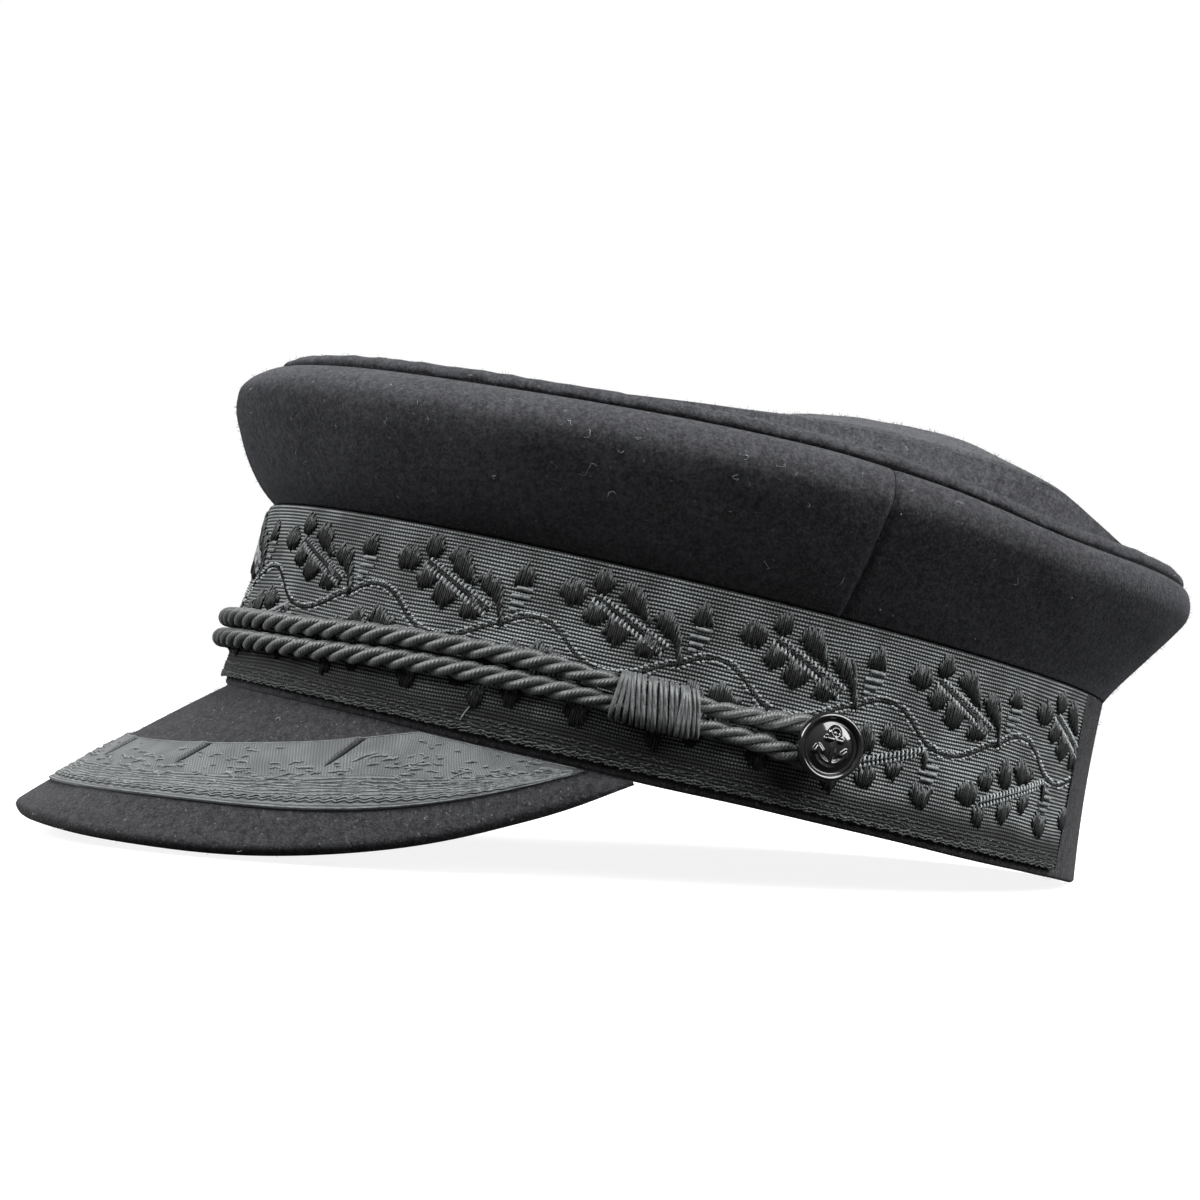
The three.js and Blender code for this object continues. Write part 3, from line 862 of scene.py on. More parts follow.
def make_crown_top():
    turn = whole_round(TOP_COLUMNS)
    base = CROWN_FOOT + rim_rise(turn) + WELT_SEAT
    inward, up = smooth_line(WELT_LINE, 6).T
    welt = band_point(turn, rim_out(turn) - WELT_WIDTH * inward, base + welt_height(turn) * up)
    welt[..., 2] += dents(welt, WELT_WAVES) * np.minimum(np.arange(welt.shape[1]) / 4, 1)
    edge = band_point(turn, rim_out(turn) - WELT_WIDTH, 0.0)
    reach = np.linalg.norm(edge, axis=-1)
    out = 1 - TOP_INSETS / TOP_INSETS[-1]
    panel = edge * out[:, None]
    groove = TOP_GROOVE * bell((1 - out) * reach - 1.0, 1.0)
    waves = (1 - out**6) * dents(panel, TOP_DENTS)
    panel[..., 2] = CROWN_FOOT + CROWN_RISE + SEAM_GAP + top_height(turn, panel, out) - groove + waves
    panel[:, -1] = panel[:, -1].mean(0)
    lining = panel[:, ::4] - (0, 0, CROWN_WALL)
    lining[:, -1] = panel[:, -1] - (0, 0, CROWN_WALL)
    under = band_point(turn, rim_out(turn) - WELT_WIDTH * WELT_UNDER, base)
    section = np.concatenate([welt, panel, lining[:, ::-1], under[:, ::-1]], 1)
    sheets["wool"].append(np.concatenate([welt, panel[:, :-1]], 1)[np.r_[:TOP_COLUMNS, 0]])
    dress(close_poles(make_solid("crown_top_cloth", section, True, wool)), "wool", "crown_top")


make_crown_top()


# The headband.
BAND_FOOT_ROUND = 1.0
BAND_COLUMNS = 240
BAND_DENTS = [(0.25, 11, 45)]


def make_headband():
    turn = whole_round(BAND_COLUMNS)
    swing = np.linspace(0, math.pi, 8)
    foot_out = (np.cos(swing) - 1) * BAND_WALL / 2
    foot_up = BAND_FOOT_ROUND * (1 - np.sin(swing))
    out = np.concatenate([np.zeros(14), foot_out, np.full(8, -BAND_WALL)])
    up = np.concatenate([
        np.linspace(BAND_HEIGHT, BAND_FOOT_ROUND, 15)[:-1],
        foot_up,
        np.linspace(BAND_FOOT_ROUND, BAND_HEIGHT, 9)[1:],
    ])
    points = band_point(turn, out, up)
    sway = dents(points, BAND_DENTS) * smooth_step(up, 8, 0)
    sheets["felt"].append(points[np.r_[:BAND_COLUMNS, 0], :22])
    dress(make_solid("headband_felt", points + sway[..., None] * (0, 0, 0.6), True, felt), "felt", "headband")


make_headband()


# The woven ribbon round the band.
RIB_LIFT = 0.2
RIB_ROWS = 4
RIB_DRIFT = 0.28
RIBBON_COLUMNS = 200
RIBBON_WAVES = (20, 30)


def make_band_ribbon():
    reach = length_at(TRIM_END * math.pi)
    length = np.linspace(-reach, reach, RIBBON_COLUMNS)[:, None]
    outer_up = np.arange(TRIM_FOOT, BAND_HEIGHT, RIB_PITCH / RIB_ROWS)
    rib = np.abs(np.sin(math.pi * outer_up / RIB_PITCH))
    outer = np.stack([TRIM_OUT - RIB_LIFT / 2 + RIB_LIFT * rib, outer_up], -1)
    if len(outer) % 2:
        outer = outer[:-1]
    inner_up = np.linspace(TRIM_FOOT, outer[-1, 1], 4)
    inner = np.stack([np.full(4, SEAM_GAP / 2), inner_up], -1)
    section = loop_of(outer, inner)
    up = section[:, 1]
    inside = smooth_step(up, TRIM_FOOT + 0.5, 7) * smooth_step(up, BAND_HEIGHT - 0.5, 38)
    drift = RIB_DRIFT * soft_waves(on_band(length, up, 0.0), *RIBBON_WAVES) * inside
    points = on_band(length, up + drift, section[:, 0])
    flat = np.stack(np.broadcast_arrays(length, up), -1) / DECIMETRE
    dress(make_solid("band_ribbon", points, False, band_ribbon, flat), "ribbon", "band_trim")


make_band_ribbon()


# The ribbon's pattern of oak leaves and acorns on a vine, in millimetres along the ribbon from a vine node
# and up the band. It repeats along the ribbon.
REPEAT = 38.9
FIRST_NODE = 132.5
LOWER_NODE = 19.0


def oval_outline(along, up, half_along, half_up):
    swing = whole_round(12, 0.0)[:, 0]
    return [(along + half_along * math.cos(a), up + half_up * math.sin(a)) for a in swing]


UPPER_PATCHES = [
    oval_outline(-25.0, 35.6, 3.0, 2.6),
    oval_outline(-19.1, 39.2, 2.2, 2.6),
    [(-15.4, 37.2), (-14.4, 39.4), (-12.4, 40.0), (-10.6, 39.0), (-9.3, 36.4), (-7.6, 32.6), (-10.6, 33.6),
     (-13.0, 34.8)],
    [(-7.3, 34.2), (-5.4, 36.4), (-3.1, 35.0), (-1.6, 31.4), (-0.6, 28.4), (-3.6, 30.8), (-5.4, 32.0)],
    [(-22.2, 31.4), (-20.8, 34.6), (-18.4, 34.4), (-16.6, 33.4), (-17.6, 31.0), (-19.2, 29.6), (-21.0, 30.0)],
    [(-17.4, 28.6), (-16.4, 32.6), (-14.8, 32.6), (-12.6, 31.4), (-11.0, 30.4), (-12.6, 27.6), (-14.5, 26.4)],
    [(-10.2, 26.4), (-9.4, 29.0), (-8.0, 30.6), (-6.0, 29.0), (-4.0, 27.6), (-6.4, 25.8), (-9.0, 25.6)],
    [(0.3, 35.2), (1.2, 38.2), (2.6, 39.6), (4.2, 38.4), (5.1, 35.2), (2.7, 34.4)],
    [(-3.0, 35.0), (-2.0, 35.0), (0.6, 25.4), (-0.6, 25.4)],
]
LOWER_PATCHES = [
    oval_outline(-25.5, 13.8, 3.1, 2.7),
    [(-23.0, 17.2), (-22.0, 19.6), (-20.5, 20.4), (-18.3, 19.0), (-18.6, 16.8), (-19.4, 15.4), (-21.6, 15.8)],
    [(-17.5, 19.8), (-16.2, 23.2), (-14.6, 23.2), (-12.8, 21.0), (-12.4, 18.4), (-13.4, 17.0), (-15.6, 17.2)],
    [(-12.2, 21.4), (-10.6, 24.0), (-8.6, 23.6), (-4.4, 21.4), (-6.8, 19.4), (-9.8, 18.8)],
    [(-22.8, 10.2), (-21.6, 11.8), (-19.0, 11.6), (-19.2, 9.0), (-20.0, 7.2), (-21.6, 7.6)],
    [(-15.7, 12.0), (-13.5, 14.4), (-10.6, 13.6), (-11.4, 10.6), (-12.7, 9.2), (-14.4, 9.8)],
    [(-8.8, 15.2), (-7.0, 17.0), (-4.8, 16.6), (-5.6, 13.8), (-6.5, 12.6), (-7.8, 13.0)],
    [(-1.8, 11.4), (-0.6, 13.6), (1.6, 12.4), (4.1, 13.0), (3.6, 10.2), (2.4, 8.4), (0.4, 8.6)],
    [(-0.5, 20.8), (0.6, 20.8), (1.0, 16.0), (0.0, 16.0)],
]
UPPER_VEINS = [((-20.6, 34.9), (-4.4, 27.2)), ((-19.2, 36.3), (-3.3, 29.2))]
LOWER_VEINS = [((-21.0, 13.3), (-0.7, 20.6)), ((-20.6, 11.9), (-2.4, 19.0))]
UPPER_BARS = [
    ((1.7, 34.2), (5.2, 34.0)), ((0.9, 32.6), (5.0, 32.1)),
    ((1.1, 30.9), (3.9, 30.7)), ((1.2, 29.5), (2.6, 29.4)),
]
LOWER_BARS = [
    ((0.8, 17.3), (4.4, 17.7)), ((-0.6, 15.8), (4.2, 16.2)),
    ((0.2, 14.4), (3.6, 14.7)), ((0.6, 18.8), (2.6, 18.9)),
]
VINE = [
    (0.0, 26.0), (3.3, 27.9), (6.5, 28.8), (9.8, 28.5), (11.8, 27.6), (14.3, 25.8), (16.4, 23.8),
    (19.0, 21.9), (21.2, 21.2), (23.6, 20.8), (27.0, 21.0), (31.4, 22.6), (33.8, 23.9), (36.6, 25.4),
    (38.9, 26.0),
]
FLOAT_PITCH = 0.45
FLOAT_RADIUS = 0.26
FLOAT_SLANT = 0.12
FLOAT_SEAT = 0.1
TIP_RADIUS = 0.24
TIP_PROUD = 0.1
FLOAT_LIFT = 0.68
LEAST_FLOAT = 0.8
VEIN_PITCH = 0.95
VEIN_STITCHES = (0.62, 0.38)
VEIN_RADIUS = 0.27
VEIN_LIFT = 0.62
MIDRIB_STITCHES = 42
MIDRIB_HALF = 0.4
MIDRIB_LIFT = 0.25
VINE_BEAD_PITCH = 0.95
BEAD_REACH = 0.2
BEAD_RADIUS = 0.3
BEAD_LIFT = 0.3
VINE_RADIUS = 0.18
VINE_LIFT = 0.34
BAR_RADIUS = 0.47
trim_reach = length_at(TRIM_END * math.pi) - 0.5
chance = np.random.default_rng(21)


def spans_of(outline, pitch):
    """Upright lines across an outline: their place along, their lowest and highest point, and how near
    the outline's middle they are, from 0 to 1."""
    corners = np.array(outline, float)
    following = np.roll(corners, -1, axis=0)
    first, last = corners[:, 0].min(), corners[:, 0].max()
    for along in np.arange(first + pitch / 2, last, pitch):
        crossing = (corners[:, 0] <= along) != (following[:, 0] <= along)
        a, b = corners[crossing], following[crossing]
        up = a[:, 1] + (b[:, 1] - a[:, 1]) * (along - a[:, 0]) / (b[:, 0] - a[:, 0])
        yield along, up.min(), up.max(), 1 - (2 * (along - first) / (last - first) - 1) ** 2


FLOAT_LINE = [(0.0, 0.0), (0.1, 0.8), (0.3, 1.0), (0.6, 0.85), (0.88, 0.42), (1.0, 0.0)]


def float_thread(along, low, high, lift):
    """One upright float of the pattern: it rises out of the ribbon, lies over it and goes back in."""
    share, rise = np.array(FLOAT_LINE).T
    return on_band(along + FLOAT_SLANT * share, blend(low, high, share), TRIM_OUT - FLOAT_SEAT + lift * rise)


def highlight_tip_thread(along, low, high, length, lift):
    """The upper end of a float, where it goes back into the ribbon. It is drawn again over the float in a
    lighter finish: a painted highlight.
    """
    up = high - length * np.array([1.0, 0.6, 0.25, -0.04])
    share = (up - low) / (high - low)
    out = TRIM_OUT + lift * read_table(FLOAT_LINE, share) + TIP_PROUD * np.array([-1.2, 1.0, 1.0, -1.0])
    return on_band(along + FLOAT_SLANT * share, up, out)


def bead(along, up, reach, radius):
    """A short stitch along the ribbon; the vine's beads are given a light finish as a painted highlight."""
    place = np.array([-1.0, 0.0, 1.0]) * reach
    out = TRIM_OUT + radius * 0.5 + BEAD_LIFT * np.array([-0.4, 0.6, -0.4])
    return on_band(along + place, up, out)


def make_pattern():
    floats, tips, beads, bars, veins, vine = [], [], [], [], [], []
    vine_along = np.arange(0, REPEAT, FLOAT_PITCH)
    vine_up = read_table(VINE, vine_along)
    vine_slope = np.gradient(vine_up, vine_along)
    for repeat in range(math.floor((-trim_reach - FIRST_NODE) / REPEAT), 4):
        upper = FIRST_NODE + REPEAT * repeat
        lower = upper + LOWER_NODE
        for node, patches in ((upper, UPPER_PATCHES), (lower, LOWER_PATCHES)):
            for outline in patches:
                for along, low, high, bulge in spans_of(outline, FLOAT_PITCH):
                    low -= chance.uniform(-0.5, 0.6)
                    high += chance.uniform(-0.6, 0.8)
                    lift = FLOAT_LIFT * (0.7 + 0.3 * bulge)
                    if abs(node + along) < trim_reach and high - low > LEAST_FLOAT:
                        place = node + along + chance.normal(0, 0.05)
                        length = (high - low) * chance.uniform(0.15, 0.45)
                        floats.append(float_thread(place, low, high, lift))
                        tips.append(highlight_tip_thread(place, low, high, length, lift))
        for along, up, slope in zip(vine_along, vine_up, vine_slope):
            half = 0.22 + 0.22 * abs(slope)
            if abs(upper + along) < trim_reach:
                vine.append(float_thread(upper + along, up - half, up + half, VINE_LIFT))
        for along in np.arange(0, REPEAT, VINE_BEAD_PITCH):
            slope = abs(np.interp(along, vine_along, vine_slope))
            middle = np.interp(along, vine_along, vine_up)
            for side, share in ((1, 0.85), (-1, 0.6)):
                if chance.uniform() < share:
                    up = middle + side * (0.68 + 0.42 * slope) + chance.normal(0, 0.07)
                    place = upper + along + chance.normal(0, 0.08)
                    beads.append((place, up, BEAD_REACH, BEAD_RADIUS * chance.uniform(0.75, 1.1)))
        for node, lines, marks in ((upper, UPPER_VEINS, UPPER_BARS), (lower, LOWER_VEINS, LOWER_BARS)):
            rows = []
            for (start, end), tall in zip(lines, VEIN_STITCHES):
                count = int(math.dist(start, end) / VEIN_PITCH)
                rows.append((veins, np.linspace(start, end, count), tall, VEIN_LIFT))
            middle = np.linspace(*np.mean(lines, axis=0), MIDRIB_STITCHES)
            rows.append((floats, middle, MIDRIB_HALF, MIDRIB_LIFT))
            for kept, places, half, lift in rows:
                for along, up in places:
                    if abs(node + along) < trim_reach:
                        kept.append(float_thread(node + along, up - half, up + half, lift))
            for (start, up), (end, end_up) in marks:
                bars.append((node + (start + end) / 2, (up + end_up) / 2, (end - start) / 2, BAR_RADIUS))
    # The vein stitches and the vine's beads are light threads: a painted highlight along the vein and the
    # vine.
    make_threads("pattern_veins", "ribbon", veins, VEIN_RADIUS, stitch_highlight)
    for name, rows, finish in (("pattern_highlight_stitches", beads, stitch_highlight), ("pattern_bars", bars, bar_yarn)):
        rows = [row for row in rows if abs(row[0]) < trim_reach]
        make_threads(name, "ribbon", [bead(*row) for row in rows], [row[-1] for row in rows], finish, sides=5)
    make_threads("pattern_highlight_tips", "ribbon", tips, TIP_RADIUS, tip_highlight_finish)
    make_threads("pattern_floats", "ribbon", floats, FLOAT_RADIUS, satin_dark)
    make_threads("pattern_vine", "ribbon", vine, VINE_RADIUS, satin_dark, sides=3)


make_pattern()


# The ribbon's lower border.
BORDER_LOW = 2.9
BORDER_HIGH = 5.3
BORDER_LOOP = 2.9
# Rows of short stitches: height up the band, distance apart, half length, radius and unevenness.
BORDER_ROWS = [
    (BORDER_HIGH, 0.95, 0.4, 0.19, 0.07),
    (4.1, 1.45, 0.55, 0.18, 0.26),
    (BORDER_LOW, 0.82, 0.38, 0.27, 0.08),
    (BORDER_LOW - 0.6, 0.82, 0.4, 0.2, 0.06),
]


def make_border():
    lines, radii = [], []
    for height, pitch, half, radius, spread in BORDER_ROWS:
        for middle in np.arange(-trim_reach + 1, trim_reach - 1, pitch):
            reach = half * chance.uniform(0.65, 1.2)
            place = np.linspace(-1, 1, 4) * reach
            wave = 0.18 * math.sin(middle * 2 * math.pi / BORDER_LOOP + height)
            up = height + wave + chance.normal(0, spread) + chance.normal(0.1, 0.25) * place
            lines.append(on_band(middle + place, up, TRIM_OUT + 0.2 * (1 - (place / reach) ** 2) - 0.1))
            radii.append(radius * chance.uniform(0.75, 1.15))
    make_threads("ribbon_border", "ribbon", lines, radii, border_yarn)


border_yarn = make_thread_finish("border_yarn", 0.012, 0.065, 0.55, 0.05)
make_border()


# The peak.
PEAK_EDGE = [(0.42, 0.00), (0.22, 0.04), (0.08, 0.14), (0.015, 0.30), (0.00, 0.50)]
PEAK_COLUMNS = 150
PEAK_ROOT = 1.6
PEAK_THINNING = 0.8
PEAK_SWAY = (14, 26)


def peak_line(across):
    """The two ends of a straight line down the peak's upper face, `across` running from -1 to 1."""
    across = np.asarray(across, float)
    root = band_point(across * PEAK_END * math.pi, -PEAK_SEAT, -SEAM_GAP)
    end = band_point(PEAK_END * math.pi, 0.0, 0.0)
    swing = across * math.pi / 2
    depth = BAND_HALF_LENGTH + end[1] + PEAK_DEPTH
    edge = np.stack([
        (end[0] + PEAK_END_DEPTH) * np.sin(swing),
        end[1] - depth * np.cos(swing),
        -SEAM_GAP - PEAK_DROP * (1 - (1 - np.cos(swing)) ** PEAK_SWEEP),
    ], -1)
    return root, edge, np.linalg.norm(edge - root, axis=-1)


def peak_point(across, inset, down):
    """A point of the peak, `inset` in from its edge and `down` under its upper face."""
    across, inset, down = np.broadcast_arrays(np.asarray(across, float), inset, down)
    root, edge, length = peak_line(across)
    share = (1 - inset / length)[..., None]
    small = 1e-3
    sides = [blend(*peak_line(across + step)[:2], share) for step in (-small, small)]
    under = unit(np.cross(sides[1] - sides[0], edge - root))
    arch = 4 * PEAK_ARCH * share * (1 - share)
    return blend(root, edge, share) + under * (down[..., None] - arch)


def make_peak():
    across = np.linspace(-1, 1, PEAK_COLUMNS)[:, None]
    length = peak_line(across)[2]
    upper_share = np.linspace(0, 1, 25)[:-1]
    start = np.minimum(PEAK_WALL * PEAK_EDGE[0][0] + 0.5, length * 0.9)
    upper = blend(length, start, upper_share)
    edge = np.array(PEAK_EDGE + [(inward, 1 - down) for inward, down in PEAK_EDGE[-2::-1]])
    lower = blend(start, length, np.linspace(0, 1, 12)[1:])
    thin = 1 - PEAK_THINNING * smooth_step(np.abs(across), 0.9, 1)
    edge_inset = PEAK_WALL * edge[:, 0] * thin
    inset = np.concatenate([length + PEAK_ROOT, upper, edge_inset, lower, length + PEAK_ROOT], 1)
    level = np.zeros(1 + upper.shape[1])
    under = np.full(lower.shape[1] + 1, PEAK_WALL)
    down = np.concatenate([level, PEAK_WALL * edge[:, 1], under])
    if inset.shape[1] % 2:
        inset, down = np.delete(inset, -2, 1), np.delete(down, -2)
    points = peak_point(across, inset, np.where(down > 0, down * thin, down))
    sway = 0.22 * soft_waves(points, *PEAK_SWAY) * smooth_step(inset, 22, 0) * smooth_step(length, 2, 14)
    points[..., 2] += sway
    points[:, :1] = band_point(across * PEAK_END * math.pi, -BAND_WALL / 2, PEAK_ROOT)
    sheets["felt"].append(points[:, 1 : upper.shape[1] + len(edge)])
    dress(make_solid("peak_felt", points, False, felt), "felt", "peak")


make_peak()


# The peak's ribbon. Six darts take in its inner edge where it curves.
PEAK_RIBBON_COLUMNS = 780
PEAK_RIBBON_ROWS = 36
DARTS = (-0.58, -0.34, -0.11, 0.13, 0.34, 0.58)
DART_SLANT = 3.0
DART_LIFT = 0.5
DART_LEAN = 5.0
DART_START = 0.58
DART_DEPTH = 1.2
DART_WIDTH = 0.6
DART_SHADE_STEPS = 14
PEAK_TRIM_BOW = 3.4
PEAK_TRIM_LIFT = 0.6
WAVE_PITCH = 3.1
WAVE_DRIFT = 7


def peak_inset(across):
    """How far the ribbon's outer edge lies in from the peak's edge."""
    return PEAK_TRIM_INSET + PEAK_TRIM_BOW * bell(np.abs(across) - 0.45, 0.25)


def peak_trim_reach():
    """How far across the peak the ribbon reaches before it runs out under the band."""
    inside, outside = 0.0, 1.0
    for _ in range(30):
        middle = (inside + outside) / 2
        room = peak_line(middle)[2] - PEAK_TRIM_CLEAR - peak_inset(middle)
        if room > PEAK_TRIM_LEAST:
            inside = middle
        else:
            outside = middle
    return inside


peak_reach = peak_trim_reach()
peak_ruler_turns = np.linspace(-1, 1, 801)
PEAK_RULER = ruler(peak_point(peak_ruler_turns, PEAK_TRIM_INSET, 0.0))


def peak_length_at(across):
    return np.interp(across, peak_ruler_turns, PEAK_RULER)


def peak_across_at(length):
    return np.interp(length, PEAK_RULER, peak_ruler_turns)


def wave_along(along):
    """The phase of the wavy thread inside the ribbon's outer edge."""
    return along * 2 * math.pi / WAVE_PITCH + np.sin(along / WAVE_DRIFT)


def dart_place(dart, share):
    """A dart's length along the ribbon, at a share of the way in from its outer edge."""
    return peak_length_at(dart) + DART_SLANT * (share - 0.5)


def peak_ribbon_lift(along, share):
    """How far the peak's ribbon stands proud of its flat face. `share` runs from its outer edge to its
    inner one."""
    lift = 0.10 * np.sin(wave_along(along)) * bell(share - 0.1, 0.05)
    lift = lift + 0.08 * (smooth_step(share, 0.05, 0.03) + smooth_step(share, 0.955, 0.975))
    depth = smooth_step(share, DART_START - 0.04, 0.8)
    for dart in DARTS:
        away = dart_place(dart, share) - along
        lift = lift + DART_LIFT * depth * np.where(away > 0, np.exp(-away / DART_LEAN * 1.6), 0)
        lift = lift - DART_DEPTH * depth * bell(away + DART_WIDTH / 2, DART_WIDTH)
    return lift


def on_peak_ribbon(along, share, lift):
    """A point over the peak's ribbon, from its length along the ribbon's outer edge."""
    along, share = np.broadcast_arrays(np.asarray(along, float), share)
    across = peak_across_at(along)
    inset = peak_inset(across)
    width = read_table(PEAK_TRIM_WIDTH, np.abs(across))
    room = np.minimum(width, peak_line(across)[2] - PEAK_TRIM_CLEAR - inset)
    return peak_point(across, inset + room * share, -PEAK_TRIM_LIFT - lift)


def make_peak_ribbon_piece():
    end = peak_length_at(peak_reach)
    column = np.linspace(-end, end, PEAK_RIBBON_COLUMNS)[:, None]
    share = np.concatenate([np.linspace(0, 1, PEAK_RIBBON_ROWS), np.linspace(1, 0, 4)])
    along = np.clip(column + DART_SLANT * (share - 0.5), -end, end)
    face = slice(0, PEAK_RIBBON_ROWS)
    lift = np.full(along.shape, -PEAK_TRIM_LIFT - 0.15)
    lift[:, face] = peak_ribbon_lift(along[:, face], share[face])
    width = PEAK_TRIM_WIDTH[0][1] * share
    flat = np.stack(np.broadcast_arrays(along, width), -1) / DECIMETRE
    section = on_peak_ribbon(along, share, lift)
    dress(make_solid("peak_ribbon", section, False, peak_ribbon, flat), "ribbon", "peak_trim")


make_peak_ribbon_piece()


def make_peak_floats():
    """Short raised threads over the peak's ribbon, and the wavy one inside its outer edge."""
    draw = np.random.default_rng(33)
    end = peak_length_at(peak_reach) - 3
    lines, radii = [], []
    for _ in range(620):
        along, share = draw.uniform(-end, end), np.clip(draw.normal(0.5, 0.2), 0.16, 0.9)
        reach, tilt = draw.uniform(0.5, 1.9), draw.normal(0.0, 0.012)
        nearest = np.abs(dart_place(np.array(DARTS), share) - along).min()
        if share > DART_START - 0.05 and nearest < reach + 0.9:
            continue
        place = np.array([-1, -0.5, 0.0, 0.5, 1.0]) * reach
        level = peak_ribbon_lift(along + place, share) + np.array([-0.1, 0.06, 0.12, 0.06, -0.1])
        bend = share + tilt * place + draw.normal(0, 0.008, 5)
        lines.append(on_peak_ribbon(along + place, bend, level))
        radii.append(draw.uniform(0.16, 0.34))
    for row in np.arange(0.19, 0.44, 0.042):
        place = np.arange(-end, end, 0.8)
        bend = row + 0.008 * np.sin(place / 1.9 + row * 40) + draw.normal(0, 0.002, len(place))
        lines.append(on_peak_ribbon(place, bend, peak_ribbon_lift(place, row) - 0.06))
        radii.append(0.27)
    along = np.arange(-end, end, 0.4)
    wave = wave_along(along)
    for row, sway, phase, radius in ((0.105, 0.012, 0.0, 0.2), (0.14, 0.016, 1.2, 0.17)):
        lines.append(on_peak_ribbon(along, row + sway * np.sin(wave + phase), 0.14))
        radii.append(radius)
    for row in (0.015, 0.985):
        lines.append(on_peak_ribbon(along, row, 0.05))
        radii.append(0.16)
    make_threads("peak_ribbon_floats", "ribbon", lines, radii, float_yarn)


def make_dart_shade():
    """Dark threads sunk in the darts: painted shade along their folds."""
    share = np.linspace(DART_START, 0.99, DART_SHADE_STEPS)
    level = -0.1 - 0.28 * np.minimum(np.arange(DART_SHADE_STEPS) / 3, 1)
    lines = [on_peak_ribbon(dart_place(dart, share) + 0.3, share, level) for dart in DARTS]
    radius = np.concatenate([[0.12, 0.3], np.full(DART_SHADE_STEPS - 2, 0.48)])
    make_threads("peak_ribbon_dart_shade", "ribbon", lines, [radius] * len(lines), satin_dark, sides=6)


make_dart_shade()
float_yarn = make_thread_finish("peak_float_yarn", 0.05, 0.17, 0.5, 0.05)
make_peak_floats()


# The twisted cord: one closed loop in two runs, round the shanks of both buttons.
CORD_LINE = [(0.00, 0.300), (0.31, 0.325), (0.51, 0.380), (0.67, 0.400), (0.80, 0.380), (1.00, 0.375)]
CORD_OUT = TRIM_OUT + SEAM_GAP + CORD_DIAMETER / 2
SQUEEZED_OUT = TRIM_OUT + 2 * SEAM_GAP + SLIDER_WALL + SLIDER_BARREL + CORD_SQUEEZED / 2
SHANK_EYE = BUTTON_SHANK / 2 + SEAM_GAP + CORD_DIAMETER / 2
CORD_LEAD = 16.0
CORD_STEP = 0.85
CORD_PLIES = 3
CORD_SLIMMING = 0.93
PLY_RADIUS_SHARE = 0.442
PLY_PLACE_SHARE = 0.570


def cord_at(turn):
    """How far out the cord lies at a turn, half the distance between its two runs, and its radius."""
    away = np.abs(np.abs(turn) - SLIDER_PLACE * math.pi) * oval_stride(turn)
    tight = 1 - smooth_step((away - SLIDER_LENGTH / 2) / CORD_DIAMETER, 1, 3)
    away = (BUTTON_PLACE * math.pi - np.abs(turn)) * oval_stride(turn)
    opening = 1 - smooth_step(away / BUTTON_DIAMETER, 0, 1)
    free = blend((CORD_DIAMETER + CORD_GAP) / 2, SHANK_EYE, opening)
    out = blend(CORD_OUT, SQUEEZED_OUT, tight)
    half = blend(free, (CORD_SQUEEZED + CORD_GAP) / 2, tight)
    return out, half, blend(CORD_DIAMETER, CORD_SQUEEZED, tight) / 2


def cord_height(turn):
    return BAND_HEIGHT * read_table(CORD_LINE, np.abs(turn) / (BUTTON_PLACE * math.pi))


def cord_path():
    """Points along the middle of the cord, evenly apart, and its radius at each."""
    end = BUTTON_PLACE * math.pi
    parts = []
    for side in (1, -1):
        turn = np.linspace(-side * end, side * end, 300)
        out, half, radius = cord_at(turn)
        run = band_point(turn, out, cord_height(turn) + side * half)
        parts.append(np.column_stack([run, radius]))
        swing = np.linspace(0, math.pi, 16)[1:-1]
        along = SHANK_EYE * np.sin(swing) / oval_stride(end)
        up = side * SHANK_EYE * np.cos(swing)
        eye = band_point(side * (end + along), CORD_OUT, cord_height(end) + up)
        parts.append(np.column_stack([eye, np.full(len(eye), CORD_DIAMETER / 2)]))
    path = np.concatenate(parts)
    path = np.concatenate([path, path[:1]])
    travelled = np.concatenate([[0], np.cumsum(np.linalg.norm(np.diff(path[:, :3], axis=0), axis=1))])
    even = np.arange(0, travelled[-1] - CORD_STEP / 2, CORD_STEP)
    return np.stack([np.interp(even, travelled, path[:, k]) for k in range(4)], -1)


def make_cord():
    path = cord_path()
    points, radius = path[:, :3], path[:, 3:] * CORD_SLIMMING
    along = unit(np.roll(points, -1, axis=0) - np.roll(points, 1, axis=0))
    outward = points * (1, 1, 0)
    outward = unit(outward - along * (outward * along).sum(1, keepdims=True))
    beside = np.cross(along, outward)
    turns = round(len(points) * CORD_STEP / CORD_LEAD)
    twist = -2 * math.pi * turns * np.arange(len(points))[:, None] / len(points)
    lines, radii = [], []
    for ply in range(CORD_PLIES):
        swing = twist + ply * 2 * math.pi / CORD_PLIES
        lines.append(points + PLY_PLACE_SHARE * radius * (np.cos(swing) * outward + np.sin(swing) * beside))
        radii.append(PLY_RADIUS_SHARE * radius[:, 0])
    make_threads("front_cord_twist", "cord", lines, radii, satin_cord, "front_cord", sides=10, closed=True)


make_cord()


# The wrapped sliders: a double thread wound round both runs, its last turns tucked across the others.
WRAP_LINES = 16
WRAP_RADIUS = 0.5
WRAP_STEPS = 34
WRAP_LEAN = 0.1
TUCKS = 3


def slider_ring(turn, phase, lift):
    """Points round both runs of cord. The phase runs from 0 to 1, starting at the outer face."""
    out, half, radius = cord_at(turn)
    wide = radius + SEAM_GAP + SLIDER_WALL - WRAP_RADIUS + lift
    arc = math.pi * wide
    lap = 2 * arc + 4 * half
    place = (phase % 1) * lap
    upper, lower = (place - half) / wide, (place - 3 * half - arc) / wide
    inside = [place < end for end in (half, half + arc, 3 * half + arc, 3 * half + 2 * arc)]
    away = np.select(inside, [wide, wide * np.cos(upper), -wide, -wide * np.cos(lower)], wide)
    rises = [place, half + wide * np.sin(upper), 2 * half + arc - place, -half - wide * np.sin(lower)]
    up = np.select(inside, rises, place - lap)
    return band_point(turn, out + away, cord_height(turn) + up)


